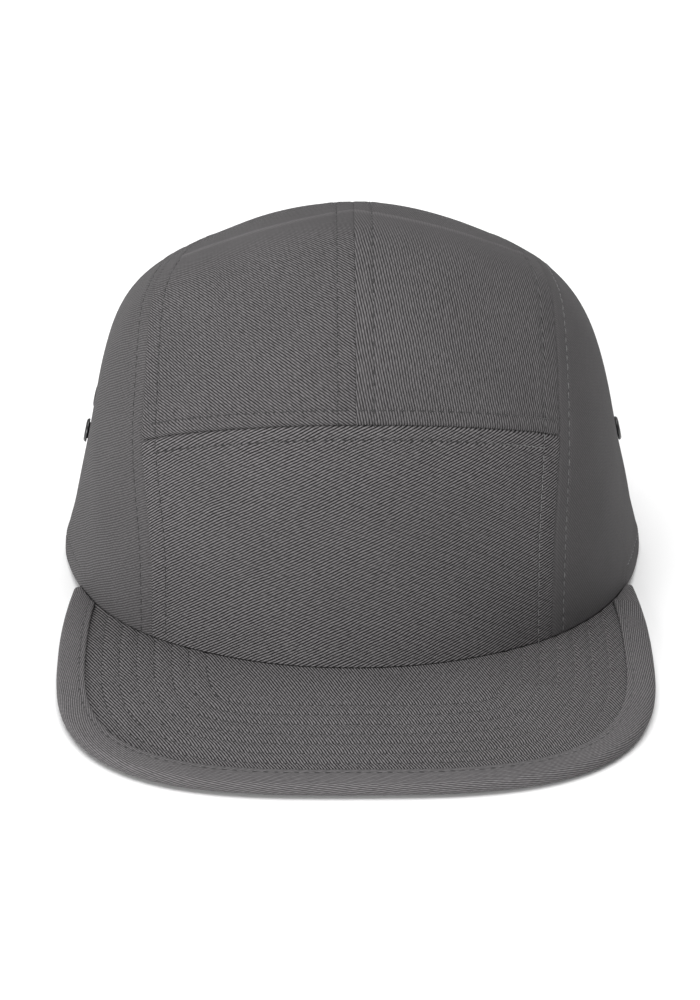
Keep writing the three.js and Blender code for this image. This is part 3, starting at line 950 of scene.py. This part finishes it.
# each line of sewing: how deep the seam dips, how thick the folded cloth lies and where its row is
sewing = {
    "side": {"Seam Depth": 0.3, "Seam Width": 0.55, "Fold Height": 0.15, "Fold Width": 7.0,
             "Row Place": 6.0, "Row Depth": 0.26, "Pucker": 0.07},
    "wing": {"Seam Depth": 0.3, "Seam Width": 0.55, "Fold Height": 0.15, "Fold Width": 5.4,
             "Row Place": 4.4, "Row Depth": 0.26, "Pucker": 0.07},
    "centre": {"Seam Depth": 0.15, "Seam Width": 0.45, "Fold Height": 0.1, "Fold Width": 6.0,
               "Row Place": 5.0, "Row Depth": 0.2, "Pucker": 0.05},
    "front": {"Seam Depth": 0.65, "Seam Width": 0.42, "Fold Height": 0.25, "Fold Width": 5.0,
              "Row Place": 4.1, "Row Depth": 0.26, "Pucker": 0.06},
    "hem": {"Seam Depth": 0.12, "Fold Height": 0.22, "Fold Width": 6.5, "Row Place": 5.0,
            "Row Depth": 0.2, "Pucker": 0.05},
    "crease": {"Seam Depth": -0.5, "Seam Width": 1.1},
}
waveHeight = 0.8  # soft unevenness, given to each panel once


def sewLine(piece, kind, measured, values, cloth):
    # shapes a piece along one line of sewing, from each point's distance to it and run along it
    names = {"Measure": f"from {kind}", "Run": f"along {kind}"}
    for name, numbers in zip(names.values(), measured):
        giveValues(piece.data, name, numbers)
    return runTree(piece, clothRelief, {**values, **names, "Material": cloth})


def sewnPanel(name, points, places, lines, cloth, outside):
    # a panel of the crown, shaped along each of its lines of sewing in turn
    piece = gridPiece(name, wornShape(points), places, outside)
    wave = {"Wave Height": waveHeight}
    for kind, line in lines.items():
        sewLine(piece, kind, nearest(points, line), {**sewing[kind], **wave}, cloth)
        wave = {}
    return piece


panelGrids = {
    "front": (120, 191),
    "top": (300, 85),
    "side": (280, 110),
    "sideCrowding": 0.4,
    "atCrease": (4.0, 0.035),  # how much closer the rows lie there, and over what share
    "atEnds": (1.2, 0.03),
    "paceSamples": 2001,
    "archRounds": 8,
    "archSamples": 200,
}


def frontPanel():
    rows, columns = panelGrids["front"]
    up, across = np.meshgrid(crowded(rows), 2 * crowded(columns) - 1, indexing="ij")
    along = up * frontSeam(across)
    points = crownPoint(along, across * stripTurn(along, across))
    run = lengthsAlong(points, 1)
    places = np.stack([run - run[:, [columns // 2]], lengthsAlong(points, 0)], -1)
    lines = {"side": [sideSeams[-1], sideSeams[1]], "front": [frontSeamPath]}
    return sewnPanel("front_panel_cloth", points, places, lines, cloths["front"], True)


def topPanel(name, side, cloth):
    # the grid closes up where the crease lies
    share = np.linspace(0, 1, panelGrids["paceSamples"])
    creaseShare = (crease["along"] - crease["dip"] / 2 - frontSeamAlong) / (1 - frontSeamAlong)
    amount, spread = panelGrids["atCrease"]
    closeness = 1 + amount * np.exp(-(((share - creaseShare) / spread) ** 2))
    amount, spread = panelGrids["atEnds"]
    closeness += amount * (np.exp(-share / spread) + np.exp(-(1 - share) / spread))
    rowCount, columnCount = panelGrids["top"]
    rows = np.interp(np.linspace(0, 1, rowCount), np.cumsum(closeness) / closeness.sum(), share)
    rows[0], rows[-1] = 0, 1
    back, across = np.meshgrid(rows, crowded(columnCount), indexing="ij")
    start = frontSeam(across)
    along = start + (1 - start) * back
    for _ in range(panelGrids["archRounds"]):
        along = start + (archAlong(across * stripTurn(along, side)) - start) * back
    points = crownPoint(along, side * across * stripTurn(along, side))
    places = np.stack([side * lengthsAlong(points, 1), lengthsAlong(points, 0)], -1)
    lines = {
        "side": [sideSeams[side]], "centre": [centreSeam], "front": [frontSeamPath], "hem": [archPath],
        "crease": [creasePath],
    }
    return sewnPanel(name, points, places, lines, cloth, side > 0)


def blendedPatch(bottom, top, ahead, behind):
    # a sheet between four border lines, laid on to the crown
    s = np.linspace(0, 1, len(bottom))[:, None, None]
    t = np.linspace(0, 1, len(ahead))[None, :, None]
    flat = (1 - t) * bottom[:, None] + t * top[:, None] + (1 - s) * ahead[None] + s * behind[None]
    corners = (
        (1 - s) * (1 - t) * bottom[0] + s * (1 - t) * bottom[-1]
        + (1 - s) * t * top[0] + s * t * top[-1]
    )
    return onCrown(flat - corners)


def sidePanel(name, side, cloth):
    columnCount, rowCount = panelGrids["side"]
    columns, rows = crowded(columnCount, panelGrids["sideCrowding"]), crowded(rowCount)
    tucked = stripTurn(alongs, side) - crown["seamTuck"]
    seam = crownPoint(alongs, side * tucked)
    end = np.argmax((seam[:, 2] < archEdge(seam[:, 0])) & (alongs > archFrom))
    shoulder = int(frontSeamAlong * (len(alongs) - 1))
    turn = np.linspace(footTurn, tucked[end], panelGrids["archSamples"])
    arch = crownPoint(archAlong(turn), side * turn)
    arch[-1] = seam[end]
    bottom = spaced(rims[side], columns)
    ahead = spaced(seam[: shoulder + 1], rows)
    top = spaced(seam[shoulder : end + 1], columns)
    behind = spaced(arch, rows)
    bottom[0], bottom[-1] = ahead[0], behind[0]
    points = blendedPatch(bottom, top, ahead, behind)
    compass, rimCompass = (np.arctan2(side * p[..., 0], -p[..., 1]) for p in (points, rims[side]))
    across = side * np.interp(compass, rimCompass, lengthsAlong(rims[side], 0))
    places = np.stack([across, lengthsAlong(points, 1)], -1)
    lines = {"wing": [sideSeams[side]], "hem": [archPath, openRims[side]]}
    piece = sewnPanel(name, points, places, lines, cloth, side < 0)
    punchEyelets(piece, side)
    return piece


eyelets = {
    "hole": 1.8,
    "barrel": 2.4,
    "flange": 3.5,
    "height": 43.0,
    "ahead": 12.0,
    "spacing": 26.0,
    "punch": 2.3,  # radius of the hole in the cloth
    "segments": 48,
    # the section: out from which radius, by how much, and how far off the cloth
    "section": [
        ("hole", 0.0, 0.1), ("hole", 0.02, 0.55), ("hole", 0.14, 0.86), ("hole", 0.4, 1.04),
        ("hole", 0.75, 1.1), ("flange", -0.55, 1.04), ("flange", -0.2, 0.84), ("flange", -0.03, 0.55),
        ("flange", 0.0, 0.25), ("flange", -0.12, 0.12), ("barrel", 0.1, 0.1), ("barrel", 0.0, 0.0),
        ("barrel", 0.0, -1.5), ("flange", -0.3, -1.55), ("flange", 0.0, -1.8), ("flange", -0.1, -2.3),
        ("flange", -0.5, -2.55), ("hole", 0.5, -2.55), ("hole", 0.1, -2.2), ("hole", 0.0, -1.6),
    ],
}


def eyeletFrames(side):
    frames = []
    for number in (0, 1):
        y, z = number * eyelets["spacing"] - eyelets["ahead"], eyelets["height"]

        def beyond(x):
            return crownMeasure(np.stack([x, np.full_like(x, y), np.full_like(x, z)], -1)) - 1

        middle = np.array([side * solve(beyond, 1, crown["width"])[0], y, z])
        frames.append((wornShape(middle), crownNormal(middle)))
    return frames


def punchEyelets(piece, side):
    # leaves out the cloth under each eyelet's barrel
    places = readPlaces(piece.data) * 1000 - [0, shiftY, 0]
    away = [np.linalg.norm(places - middle, axis=1) for middle, _ in eyeletFrames(side)]
    inside = np.flatnonzero(np.min(away, axis=0) < eyelets["punch"])
    editMesh(piece, lambda work: bmesh.ops.delete(
        work, geom=[work.verts[i] for i in inside], context="VERTS",
    ))


front = frontPanel()
tops = {
    1: topPanel("top_panel_left_cloth", 1, cloths["topLeft"]),
    -1: topPanel("top_panel_right_cloth", -1, cloths["topRight"]),
}
sides = {
    1: sidePanel("side_panel_left_cloth", 1, cloths["sideLeft"]),
    -1: sidePanel("side_panel_right_cloth", -1, cloths["sideRight"]),
}
print("crown panels made")


# The brim

binding = {
    "width": 8.0,
    "wall": 0.7,
    "lift": 0.6,  # how far its underside stands off the table
    "bend": 1.55,  # radius of the fold round the edge
    "bendPoints": 9,
    "flatPoints": 12,
    "swell": 0.16,  # fullness of the top between fold and sewn edge
    "swellPace": 1.12,
    "edgeDip": 0.08,
    "clear": 0.02,  # between its inner face and the board's cloth
    "row": 6.3,  # from the edge
}
boundHalf = binding["wall"] + brim["gap"] + brim["wall"] / 2


def brimEdgePoint(t):
    t = np.asarray(t, float)
    side = np.where(t < 0.5, -1.0, 1.0)
    frontY, halfWidth = -frontReach, brimEnd[0] + brim["endWidth"] + brim["flare"]
    widestY = brimEnd[1] + (frontY - brimEnd[1]) * brim["widest"]
    fromFront = np.abs(2 * t - 1)
    back = np.clip((fromFront - brim["cornersAt"]) / (1 - brim["cornersAt"]), 0, 1)
    turn = np.clip(fromFront / brim["cornersAt"], 0, 1) * math.pi / 2
    power = 2 / brim["squareness"]
    behind = fromFront > brim["cornersAt"]
    x = np.where(behind, halfWidth - brim["flare"] * back**2, halfWidth * np.sin(turn) ** power)
    y = np.where(
        behind,
        widestY + (brimEnd[1] - widestY) * back,
        widestY + (frontY - widestY) * np.clip(np.cos(turn), 0, 1) ** power,
    )
    return np.stack([side * x, y], -1)


edgeLine = brimEdgePoint(np.linspace(0, 1, brim["edgeSamples"]))
edgeRun = lengthsAlong(edgeLine, 0)
flatEdge = np.pad(edgeLine, ((0, 0), (0, 1)))  # the same with z = 0


def edgeAt(share):
    return pointsAt(edgeLine, edgeRun, share * edgeRun[-1])


def inwardOf(ahead):
    return np.stack([-ahead[..., 1], ahead[..., 0]], -1)


def fromBrimEdge(points):
    return nearest(points * (1, 1, 0), [flatEdge])


class BrimLine:
    # a line across the brim from its edge to the crown, as the solid brim has it
    def __init__(self, across, step=1e-3):
        share = (across + 1) / 2
        near = edgeAt(np.clip(np.array([share - step, share + step]), 0, 1))
        self.edge = edgeAt(np.array([share]))[0]
        self.inward = inwardOf(unit(near[1] - near[0]))
        height = 2 * boundHalf

        def beyond(depth):
            p = self.edge + self.inward * depth[..., None]
            return 1 - crownMeasure(np.concatenate([p, np.full((len(p), 1), height)], -1))

        room = float(solve(beyond, 0, brim["reach"])[0])
        self.fold = min(binding["width"], room - brim["gap"])
        turn = math.copysign(abs(across) ** brim["fan"], across) * brim["endTurn"]
        self.rim = crownPoint(np.zeros(1), np.full(1, turn))[0]
        self.under = -unit(crownNormal(self.rim)[:2])
        self.bendDepth = self.fold + brim["gap"]
        self.bend = self.edge + self.inward * self.bendDepth
        self.straight = float(np.linalg.norm(self.rim[:2] - self.bend))
        self.total = self.bendDepth + self.straight
        self.rootMiddle = self.rim[2] - brim["gap"] - brim["wall"] / 2

    def at(self, depth, height):
        if depth <= self.bendDepth:
            p = self.edge + self.inward * depth
        elif depth < self.total:
            p = self.bend + (self.rim[:2] - self.bend) * (depth - self.bendDepth) / self.straight
        else:
            p = self.rim[:2] + self.under * (depth - self.total)
        z = boundHalf + (self.rootMiddle - boundHalf) * min(depth / self.total, 1) + height
        return np.array([p[0], p[1], z])


brimWarp = brim["crowding"] * math.pi
brimAcross = np.sin(np.linspace(-1, 1, brim["lines"]) * brimWarp) / math.sin(brimWarp)
brimLines = [BrimLine(across) for across in brimAcross]


def brimBoard(depthPoints=64):
    # the board in its cloth: a closed loop of points down each line across the brim
    half = brim["wall"] / 2
    rounding = brim["rounding"]
    start = binding["wall"] + brim["gap"]
    loops = []
    for line in brimLines:
        end = line.total + brim["tuck"]
        depths = start + rounding + (end - start - rounding) * np.linspace(0, 1, depthPoints)
        top = [line.at(d, half) for d in depths]
        bottom = [line.at(d, -half) for d in depths[::-1]]
        tip = [line.at(start, -half + rounding), line.at(start, half - rounding)]
        loops.append(top + bottom + tip)
    points = np.array(loops).transpose(1, 0, 2)
    piece = gridPiece("brim_cloth", points, points[..., :2], outside=True, around=True)
    distance, run = fromBrimEdge(points)
    fromFirst, spacing = distance - brim["firstRow"], brim["rowSpacing"]
    row = np.clip(np.round(fromFirst / spacing), 0, brim["rows"] - 1)
    return sewLine(piece, "row", (np.abs(fromFirst - row * spacing), run), {
        "Row Place": 0.0, "Row Depth": 0.26, "Row Width": 0.8, "Pucker": 0.04,
        "Wave Height": 0.25, "Wave Size": 26.0, "Seed": 6.0,
    }, cloths["brim"])


def brimBinding():
    # bias strip folded round the edge; its section is a rounded hook
    wall, lift, bend, dip = (binding[part] for part in ("wall", "lift", "bend", "edgeDip"))
    inside = boundHalf - wall + binding["clear"]
    shares = np.linspace(1, 0, binding["flatPoints"])
    swells = [
        binding["swell"] * math.sin(math.pi * min(s * binding["swellPace"], 1)) - dip * (s == 1)
        for s in shares
    ]
    angles = np.linspace(0, math.pi / 2, binding["bendPoints"])
    corner = [(bend * (1 - math.cos(a)), bend * math.sin(a)) for a in angles]
    loops = []
    for line in brimLines:
        flats = bend + (line.fold - bend) * shares
        outer = [line.at(d, boundHalf + w) for d, w in zip(flats, swells)]
        outer += [line.at(d, boundHalf - bend + h) for d, h in corner[-2::-1]]
        outer += [line.at(d, lift - (boundHalf - bend + h)) for d, h in corner[:-1]]
        outer += [line.at(d, lift - boundHalf) for d in flats[::-1]]
        back = [line.at(d, lift / 3 - inside) for d in flats]
        back += [line.at(wall, -inside / 3), line.at(wall, inside / 3)]
        back += [line.at(d, inside) for d in flats[::-1]]
        loops.append(outer + back)
    points = np.array(loops).transpose(1, 0, 2)
    across = lengthsAlong(points, 0)
    along = np.broadcast_to(edgeRun[-1] * (brimAcross + 1) / 2, across.shape)
    piece = gridPiece("binding_cloth", points, np.stack([along, across], -1), outside=False, around=True)
    return sewLine(piece, "edge", fromBrimEdge(points), {
        "Row Place": binding["row"], "Row Depth": 0.14, "Pucker": 0.05, "Pucker Pitch": 3.1,
        "Wave Height": 0.16, "Wave Size": 9.0, "Seed": 7.0,
    }, cloths["binding"])


brimPiece = brimBoard()
bindingPiece = brimBinding()
print("brim made")


# The band inside, the strap and the clip

band = {"height": 30.0, "wall": 1.2, "gap": 0.7, "clear": 0.3, "soft": 0.4, "rows": 10, "stations": 260}
strap = {
    "width": 20.0, "wall": 1.4, "lift": 4.0, "lap": 12.0, "seat": 7.0, "clipWidth": 36.0,
    "soft": 0.45, "rows": 24, "stations": 60,
}
strapMiddle = strap["lift"] + strap["width"] / 2
bandDepth = crown["cloth"] + band["clear"] + band["gap"]


def compassAcross(x):
    # the compass angle at the strap's height, as far across as x
    def beyond(y):
        return crownMeasure(np.stack([np.full_like(y, x), y, np.full_like(y, strapMiddle)], -1)) - 1

    return math.degrees(math.atan2(x, -solve(beyond, 0, farOut)[0]))


def stripPiece(name, compasses, look, low, high, foot, cloth):
    # a strip inside the crown, with soft corners and both ends shut
    wall, soft = look["wall"], look["soft"]
    ups = np.linspace(low + soft, high - soft, look["rows"])
    section = [(u, 0.0) for u in ups] + [(high, soft), (high, wall - soft)]
    section += [(u, wall) for u in ups[::-1]] + [(low, wall - soft), (low, soft)]
    columns = [behindCrown(compasses, foot + up, bandDepth + depth) for up, depth in section]
    points = np.array(columns).transpose(1, 0, 2)
    number = np.arange(points.shape[0] * points.shape[1]).reshape(points.shape[:2])
    ends = [number[0].tolist(), number[-1][::-1].tolist()]
    faces = gridFaces(points.shape, outside=False, aroundColumns=True)
    piece = newPiece(name, points.reshape(-1, 3), faces + ends)
    across = lengthsAlong(points, 1)
    along = np.broadcast_to(lengthsAlong(points[:, 0], 0)[:, None], across.shape)
    giveMap(piece.data, np.stack([along, across], -1))
    editMesh(piece, facesOutwards)
    for face in piece.data.polygons:
        face.use_smooth = len(face.vertices) == 4
    piece.data.materials.append(cloth)
    return piece


def sweatband():
    end = compassAcross(crown["archHalf"] + strap["lap"] + 2 * band["gap"])
    compasses = np.linspace(-end, end, band["stations"])
    seamHeight = crown["brimSeamHeight"]
    foot = np.maximum(0, -aroundCrown(compasses, seamHeight)[:, 1] / crown["front"] * seamHeight)
    return stripPiece("sweatband_cloth", compasses, band, band["clear"], band["height"], foot, cloths["band"])


def strapPiece(name, side):
    compasses = side * np.linspace(
        compassAcross(strap["clipWidth"] / 2 - strap["seat"]),
        compassAcross(crown["archHalf"] + strap["lap"]), strap["stations"],
    )
    low, high = strap["lift"], strap["lift"] + strap["width"]
    return stripPiece(name, compasses, strap, low, high, np.zeros(len(compasses)), webbing)


bandPiece = sweatband()
straps = {side: strapPiece(f"strap_{hand}_webbing", side) for side, hand in hands.items()}
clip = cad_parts["strap_clip"]
clip.data.materials.clear()
clip.data.materials.append(moulded)


def eyelet(name, middle, normal):
    # a flanged tube turned about the cloth's normal
    right = unit(np.cross([0, 0, 1.0], normal))
    up = np.cross(normal, right)
    section = [(eyelets[start] + out, rise) for start, out, rise in eyelets["section"]]
    angles = np.linspace(0, math.tau, eyelets["segments"], endpoint=False)
    rings = np.array([
        [middle + r * (math.cos(a) * right + math.sin(a) * up) + h * normal for r, h in section]
        for a in angles
    ])
    faces = gridFaces(rings.shape, outside=False, aroundRows=True, aroundColumns=True)
    piece = newPiece(name, rings.reshape(-1, 3), faces)
    editMesh(piece, facesOutwards)
    piece.data.shade_smooth()
    piece.data.materials.append(lacquer)
    return piece


eyeletPieces = {}
for side, hand in hands.items():
    for (middle, normal), where in zip(eyeletFrames(side), ("front", "rear")):
        node = f"eyelet_{hand}_{where}"
        eyeletPieces[node] = eyelet(node + "_metal", middle, normal)
print("band, straps and eyelets made")


# Stitch rows

stitching = {
    "pitch": 2.8,
    "length": 2.05,
    "radius": 0.18,
    "fromRim": 5.0,
    "fromMiddle": 0.2,  # where the row round the arch is split between the top panels
    "thread": thread,
}
stitchSeeds = {"front": 11, "top": 13, "side": 16, "brim": 21, "binding": 22}
# how much of a row stays bare at its start and end
bareEnds = {"seam": (0.5, 1.0), "arch": (0.5, 0.5), "corner": (0.5, 0.0), "rim": (1.0, 3.0)}


def offsetRow(line, distance, side, away=3.0, trim=(0.0, 0.0)):
    # a row beside a seam line on the crown, lifted off the cloth, and the way back down to it
    row = onCrown(line + np.cross(crownNormal(line), unit(np.gradient(line, axis=0))) * side * distance)
    run = lengthsAlong(row, 0)
    row = row[(run >= trim[0]) & (run <= run[-1] - trim[1])]
    normal = crownNormal(row)
    return row + normal * away, -normal


def sewRows(name, rails, cloth, seed, **changes):
    # one piece of stitches along several rails, each with its points and the way down to the cloth
    look = {**stitching, **changes}
    edges, start = [], 0
    for points, _ in rails:
        edges += [(start + i, start + i + 1) for i in range(len(points) - 1)]
        start += len(points)
    piece = newPiece(name, np.vstack([points for points, _ in rails]), [], edges)
    giveValues(piece.data, "inward", np.vstack([way for _, way in rails]), "FLOAT_VECTOR")
    return runTree(piece, stitchRow, {
        "Cloth": cloth, "Pitch": look["pitch"] / 1000, "Stitch Length": look["length"] / 1000,
        "Thread Radius": look["radius"] / 1000, "Seed": seed, "Material": look["thread"],
    })


rowAt = {kind: values.get("Row Place", 0.0) for kind, values in sewing.items()}
frontRails = [offsetRow(frontSeamPath, rowAt["front"], -1, trim=(rowAt["side"], rowAt["side"]))]
crossings = {}
for side in (-1, 1):
    seam, joint = sideSeams[side], frontSeamPath[-1 if side > 0 else 0]
    crossings[side] = int(np.argmin(np.linalg.norm(seam[: len(seam) // 2] - joint, axis=1)))
    frontRails.append(offsetRow(seam[: crossings[side] + 1], rowAt["side"], side, trim=bareEnds["corner"]))
frontStitches = sewRows("front_panel_stitches", frontRails, front, stitchSeeds["front"])

topStitches = {}
sideStitches = {}
half = len(frontSeamPath) // 2
for side, hand in hands.items():
    seam = sideSeams[side]
    frontHalf = frontSeamPath[half:] if side > 0 else frontSeamPath[:half]
    frontTrim = (bareEnds["seam"][0], rowAt["side"])[::side]
    archHalf = archPath[archPath[:, 0] * side > stitching["fromMiddle"]]
    rails = [
        offsetRow(seam[crossings[side] :], rowAt["side"], side, trim=bareEnds["seam"]),
        offsetRow(centreSeam, rowAt["centre"], -side, trim=bareEnds["seam"]),
        offsetRow(frontHalf, rowAt["front"], 1, trim=frontTrim),
        offsetRow(archHalf, rowAt["hem"], -1, trim=bareEnds["arch"]),
    ]
    topStitches[side] = sewRows(
        f"top_panel_{hand}_stitches", rails, tops[side], stitchSeeds["top"] + side, thread=shadedThread,
    )
    rails = [
        offsetRow(seam, rowAt["wing"], -side, trim=bareEnds["seam"]),
        offsetRow(openRims[side], stitching["fromRim"], side, trim=bareEnds["rim"]),
    ]
    sideStitches[side] = sewRows(
        f"side_panel_{hand}_stitches", rails, sides[side], stitchSeeds["side"] + side,
    )

brimRowPlan = {
    "samples": 900,
    "bareEnds": 0.004,  # share of the edge
    "height": 8.0,  # where a row's room beside the crown is measured
    "clearOfCrown": 1.012,
    "slack": 0.08,
    "above": 16.0,
    "below": -6.0,
}
edgePoints = edgeAt(np.linspace(brimRowPlan["bareEnds"], 1 - brimRowPlan["bareEnds"], brimRowPlan["samples"]))
edgeInward = inwardOf(unit(np.gradient(edgePoints, axis=0)))


def brimRows(depth):
    # the row on top of the brim and the one underneath, this far in from the edge
    p = edgePoints + edgeInward * depth
    flat = np.concatenate([p, np.full((len(p), 1), brimRowPlan["height"])], -1)
    clear = crownMeasure(flat) > brimRowPlan["clearOfCrown"]
    clear &= fromBrimEdge(flat)[0] > depth - brimRowPlan["slack"]
    rails = []
    for height, way in ((brimRowPlan["above"], -1.0), (brimRowPlan["below"], 1.0)):
        row = flat[clear]
        row[:, 2] = height
        rails.append((row, np.tile([0.0, 0.0, way], (len(row), 1))))
    return rails


brimRails = []
for row in range(brim["rows"]):
    brimRails += brimRows(brim["firstRow"] + row * brim["rowSpacing"])
brimStitches = sewRows(
    "brim_stitches", brimRails, brimPiece, stitchSeeds["brim"], radius=0.15, thread=shadedThread,
)
bindingStitches = sewRows(
    "binding_stitches", brimRows(binding["row"]), bindingPiece, stitchSeeds["binding"],
    radius=0.16, thread=shadedThread,
)
print("stitches sewn")


# Walls, and what each piece stands for

for piece in (front, *tops.values(), *sides.values()):
    giveWall(piece, crown["cloth"])

dress(front, "crown_twill", "front_panel")
for side, hand in hands.items():
    dress(tops[side], "crown_twill", f"top_panel_{hand}")
    dress(sides[side], "crown_twill", f"side_panel_{hand}")
    dress(straps[side], "strap_webbing", f"strap_{hand}")
    dress(topStitches[side], "crown_twill")
    dress(sideStitches[side], "crown_twill")
dress(frontStitches, "crown_twill")
dress(brimPiece, "brim_twill", "brim")
dress(brimStitches, "brim_twill")
dress(bindingPiece, "binding_twill", "brim_binding")
dress(bindingStitches, "binding_twill")
dress(bandPiece, "band_cloth", "sweatband")
for node, piece in eyeletPieces.items():
    dress(piece, "black_eyelet", node)


# Floor, light and camera

studio = {
    "floor": 0.96,
    "floorReach": 6.0,
    "floorDrop": 0.0002,
    "floorRoughness": 0.9,
    "floorSpecular": 0.1,
    "world": 0.3,
    "overhead": 2.7,
    "overheadWay": (0.0, -0.02, 1.0),
    "overheadSpread": 60.0,
    "key": 3.1,
    "keyWay": (-0.56, -0.78, 0.16),
    "keySpread": 40.0,
}


def softLight(name):
    # a wide, far light that comes from one way
    data = bpy.data.lights.new(name, "SUN")
    data.energy = studio[name]
    data.angle = math.radians(studio[name + "Spread"])
    light = bpy.data.objects.new(name, data)
    light.rotation_mode = "QUATERNION"
    light.rotation_quaternion = Vector(studio[name + "Way"]).to_track_quat("Z", "Y")
    bpy.context.scene.collection.objects.link(light)


softLight("overhead")
softLight("key")

floorMesh = bpy.data.meshes.new("floor")
reach = studio["floorReach"]
corners = [(-reach, -reach, 0), (reach, -reach, 0), (reach, reach, 0), (-reach, reach, 0)]
floorMesh.from_pydata(corners, [], [(0, 1, 2, 3)])
floor = bpy.data.objects.new("floor", floorMesh)
floor.location.z = -studio["floorDrop"]
bpy.context.scene.collection.objects.link(floor)
floorPaint, paintTree, floorShader = newMaterial("pale floor")
fill(paintTree, floorShader, {
    "Base Color": (studio["floor"], studio["floor"], studio["floor"], 1),
    "Roughness": studio["floorRoughness"],
    "Specular IOR Level": studio["floorSpecular"],
})
floorMesh.materials.append(floorPaint)

world = bpy.data.worlds.new("studio")
bpy.context.scene.world = world
world.use_nodes = True
fill(world.node_tree, world.node_tree.nodes["Background"], {
    "Color": (1, 1, 1, 1), "Strength": studio["world"],
})
bpy.context.scene.view_settings.view_transform = "Standard"

view = {
    "target": (0.0, 0.015854, 0.05),
    "distance": 1.5,
    "elevation": 23.0,
    "azimuth": -0.6,
    "lens": 185.69,
    "sensor": 36.0,
    "shift": (-0.00314, -0.08222),
    "farthest": 30.0,
}
azimuth, elevation = math.radians(view["azimuth"]), math.radians(view["elevation"])
back = Vector((
    math.sin(azimuth) * math.cos(elevation), -math.cos(azimuth) * math.cos(elevation), math.sin(elevation),
))
cameraData = bpy.data.cameras.new("camera")
cameraData.lens = view["lens"]
cameraData.sensor_width = view["sensor"]
cameraData.shift_x, cameraData.shift_y = view["shift"]
cameraData.clip_end = view["farthest"]
camera = bpy.data.objects.new("camera", cameraData)
right = Vector((math.cos(azimuth), math.sin(azimuth), 0))
turned = Matrix((right, back.cross(right), back)).transposed()
camera.matrix_world = Matrix.Translation(Vector(view["target"]) + back * view["distance"]) @ turned.to_4x4()
bpy.context.scene.collection.objects.link(camera)
bpy.context.scene.camera = camera

bpy.context.view_layer.update()
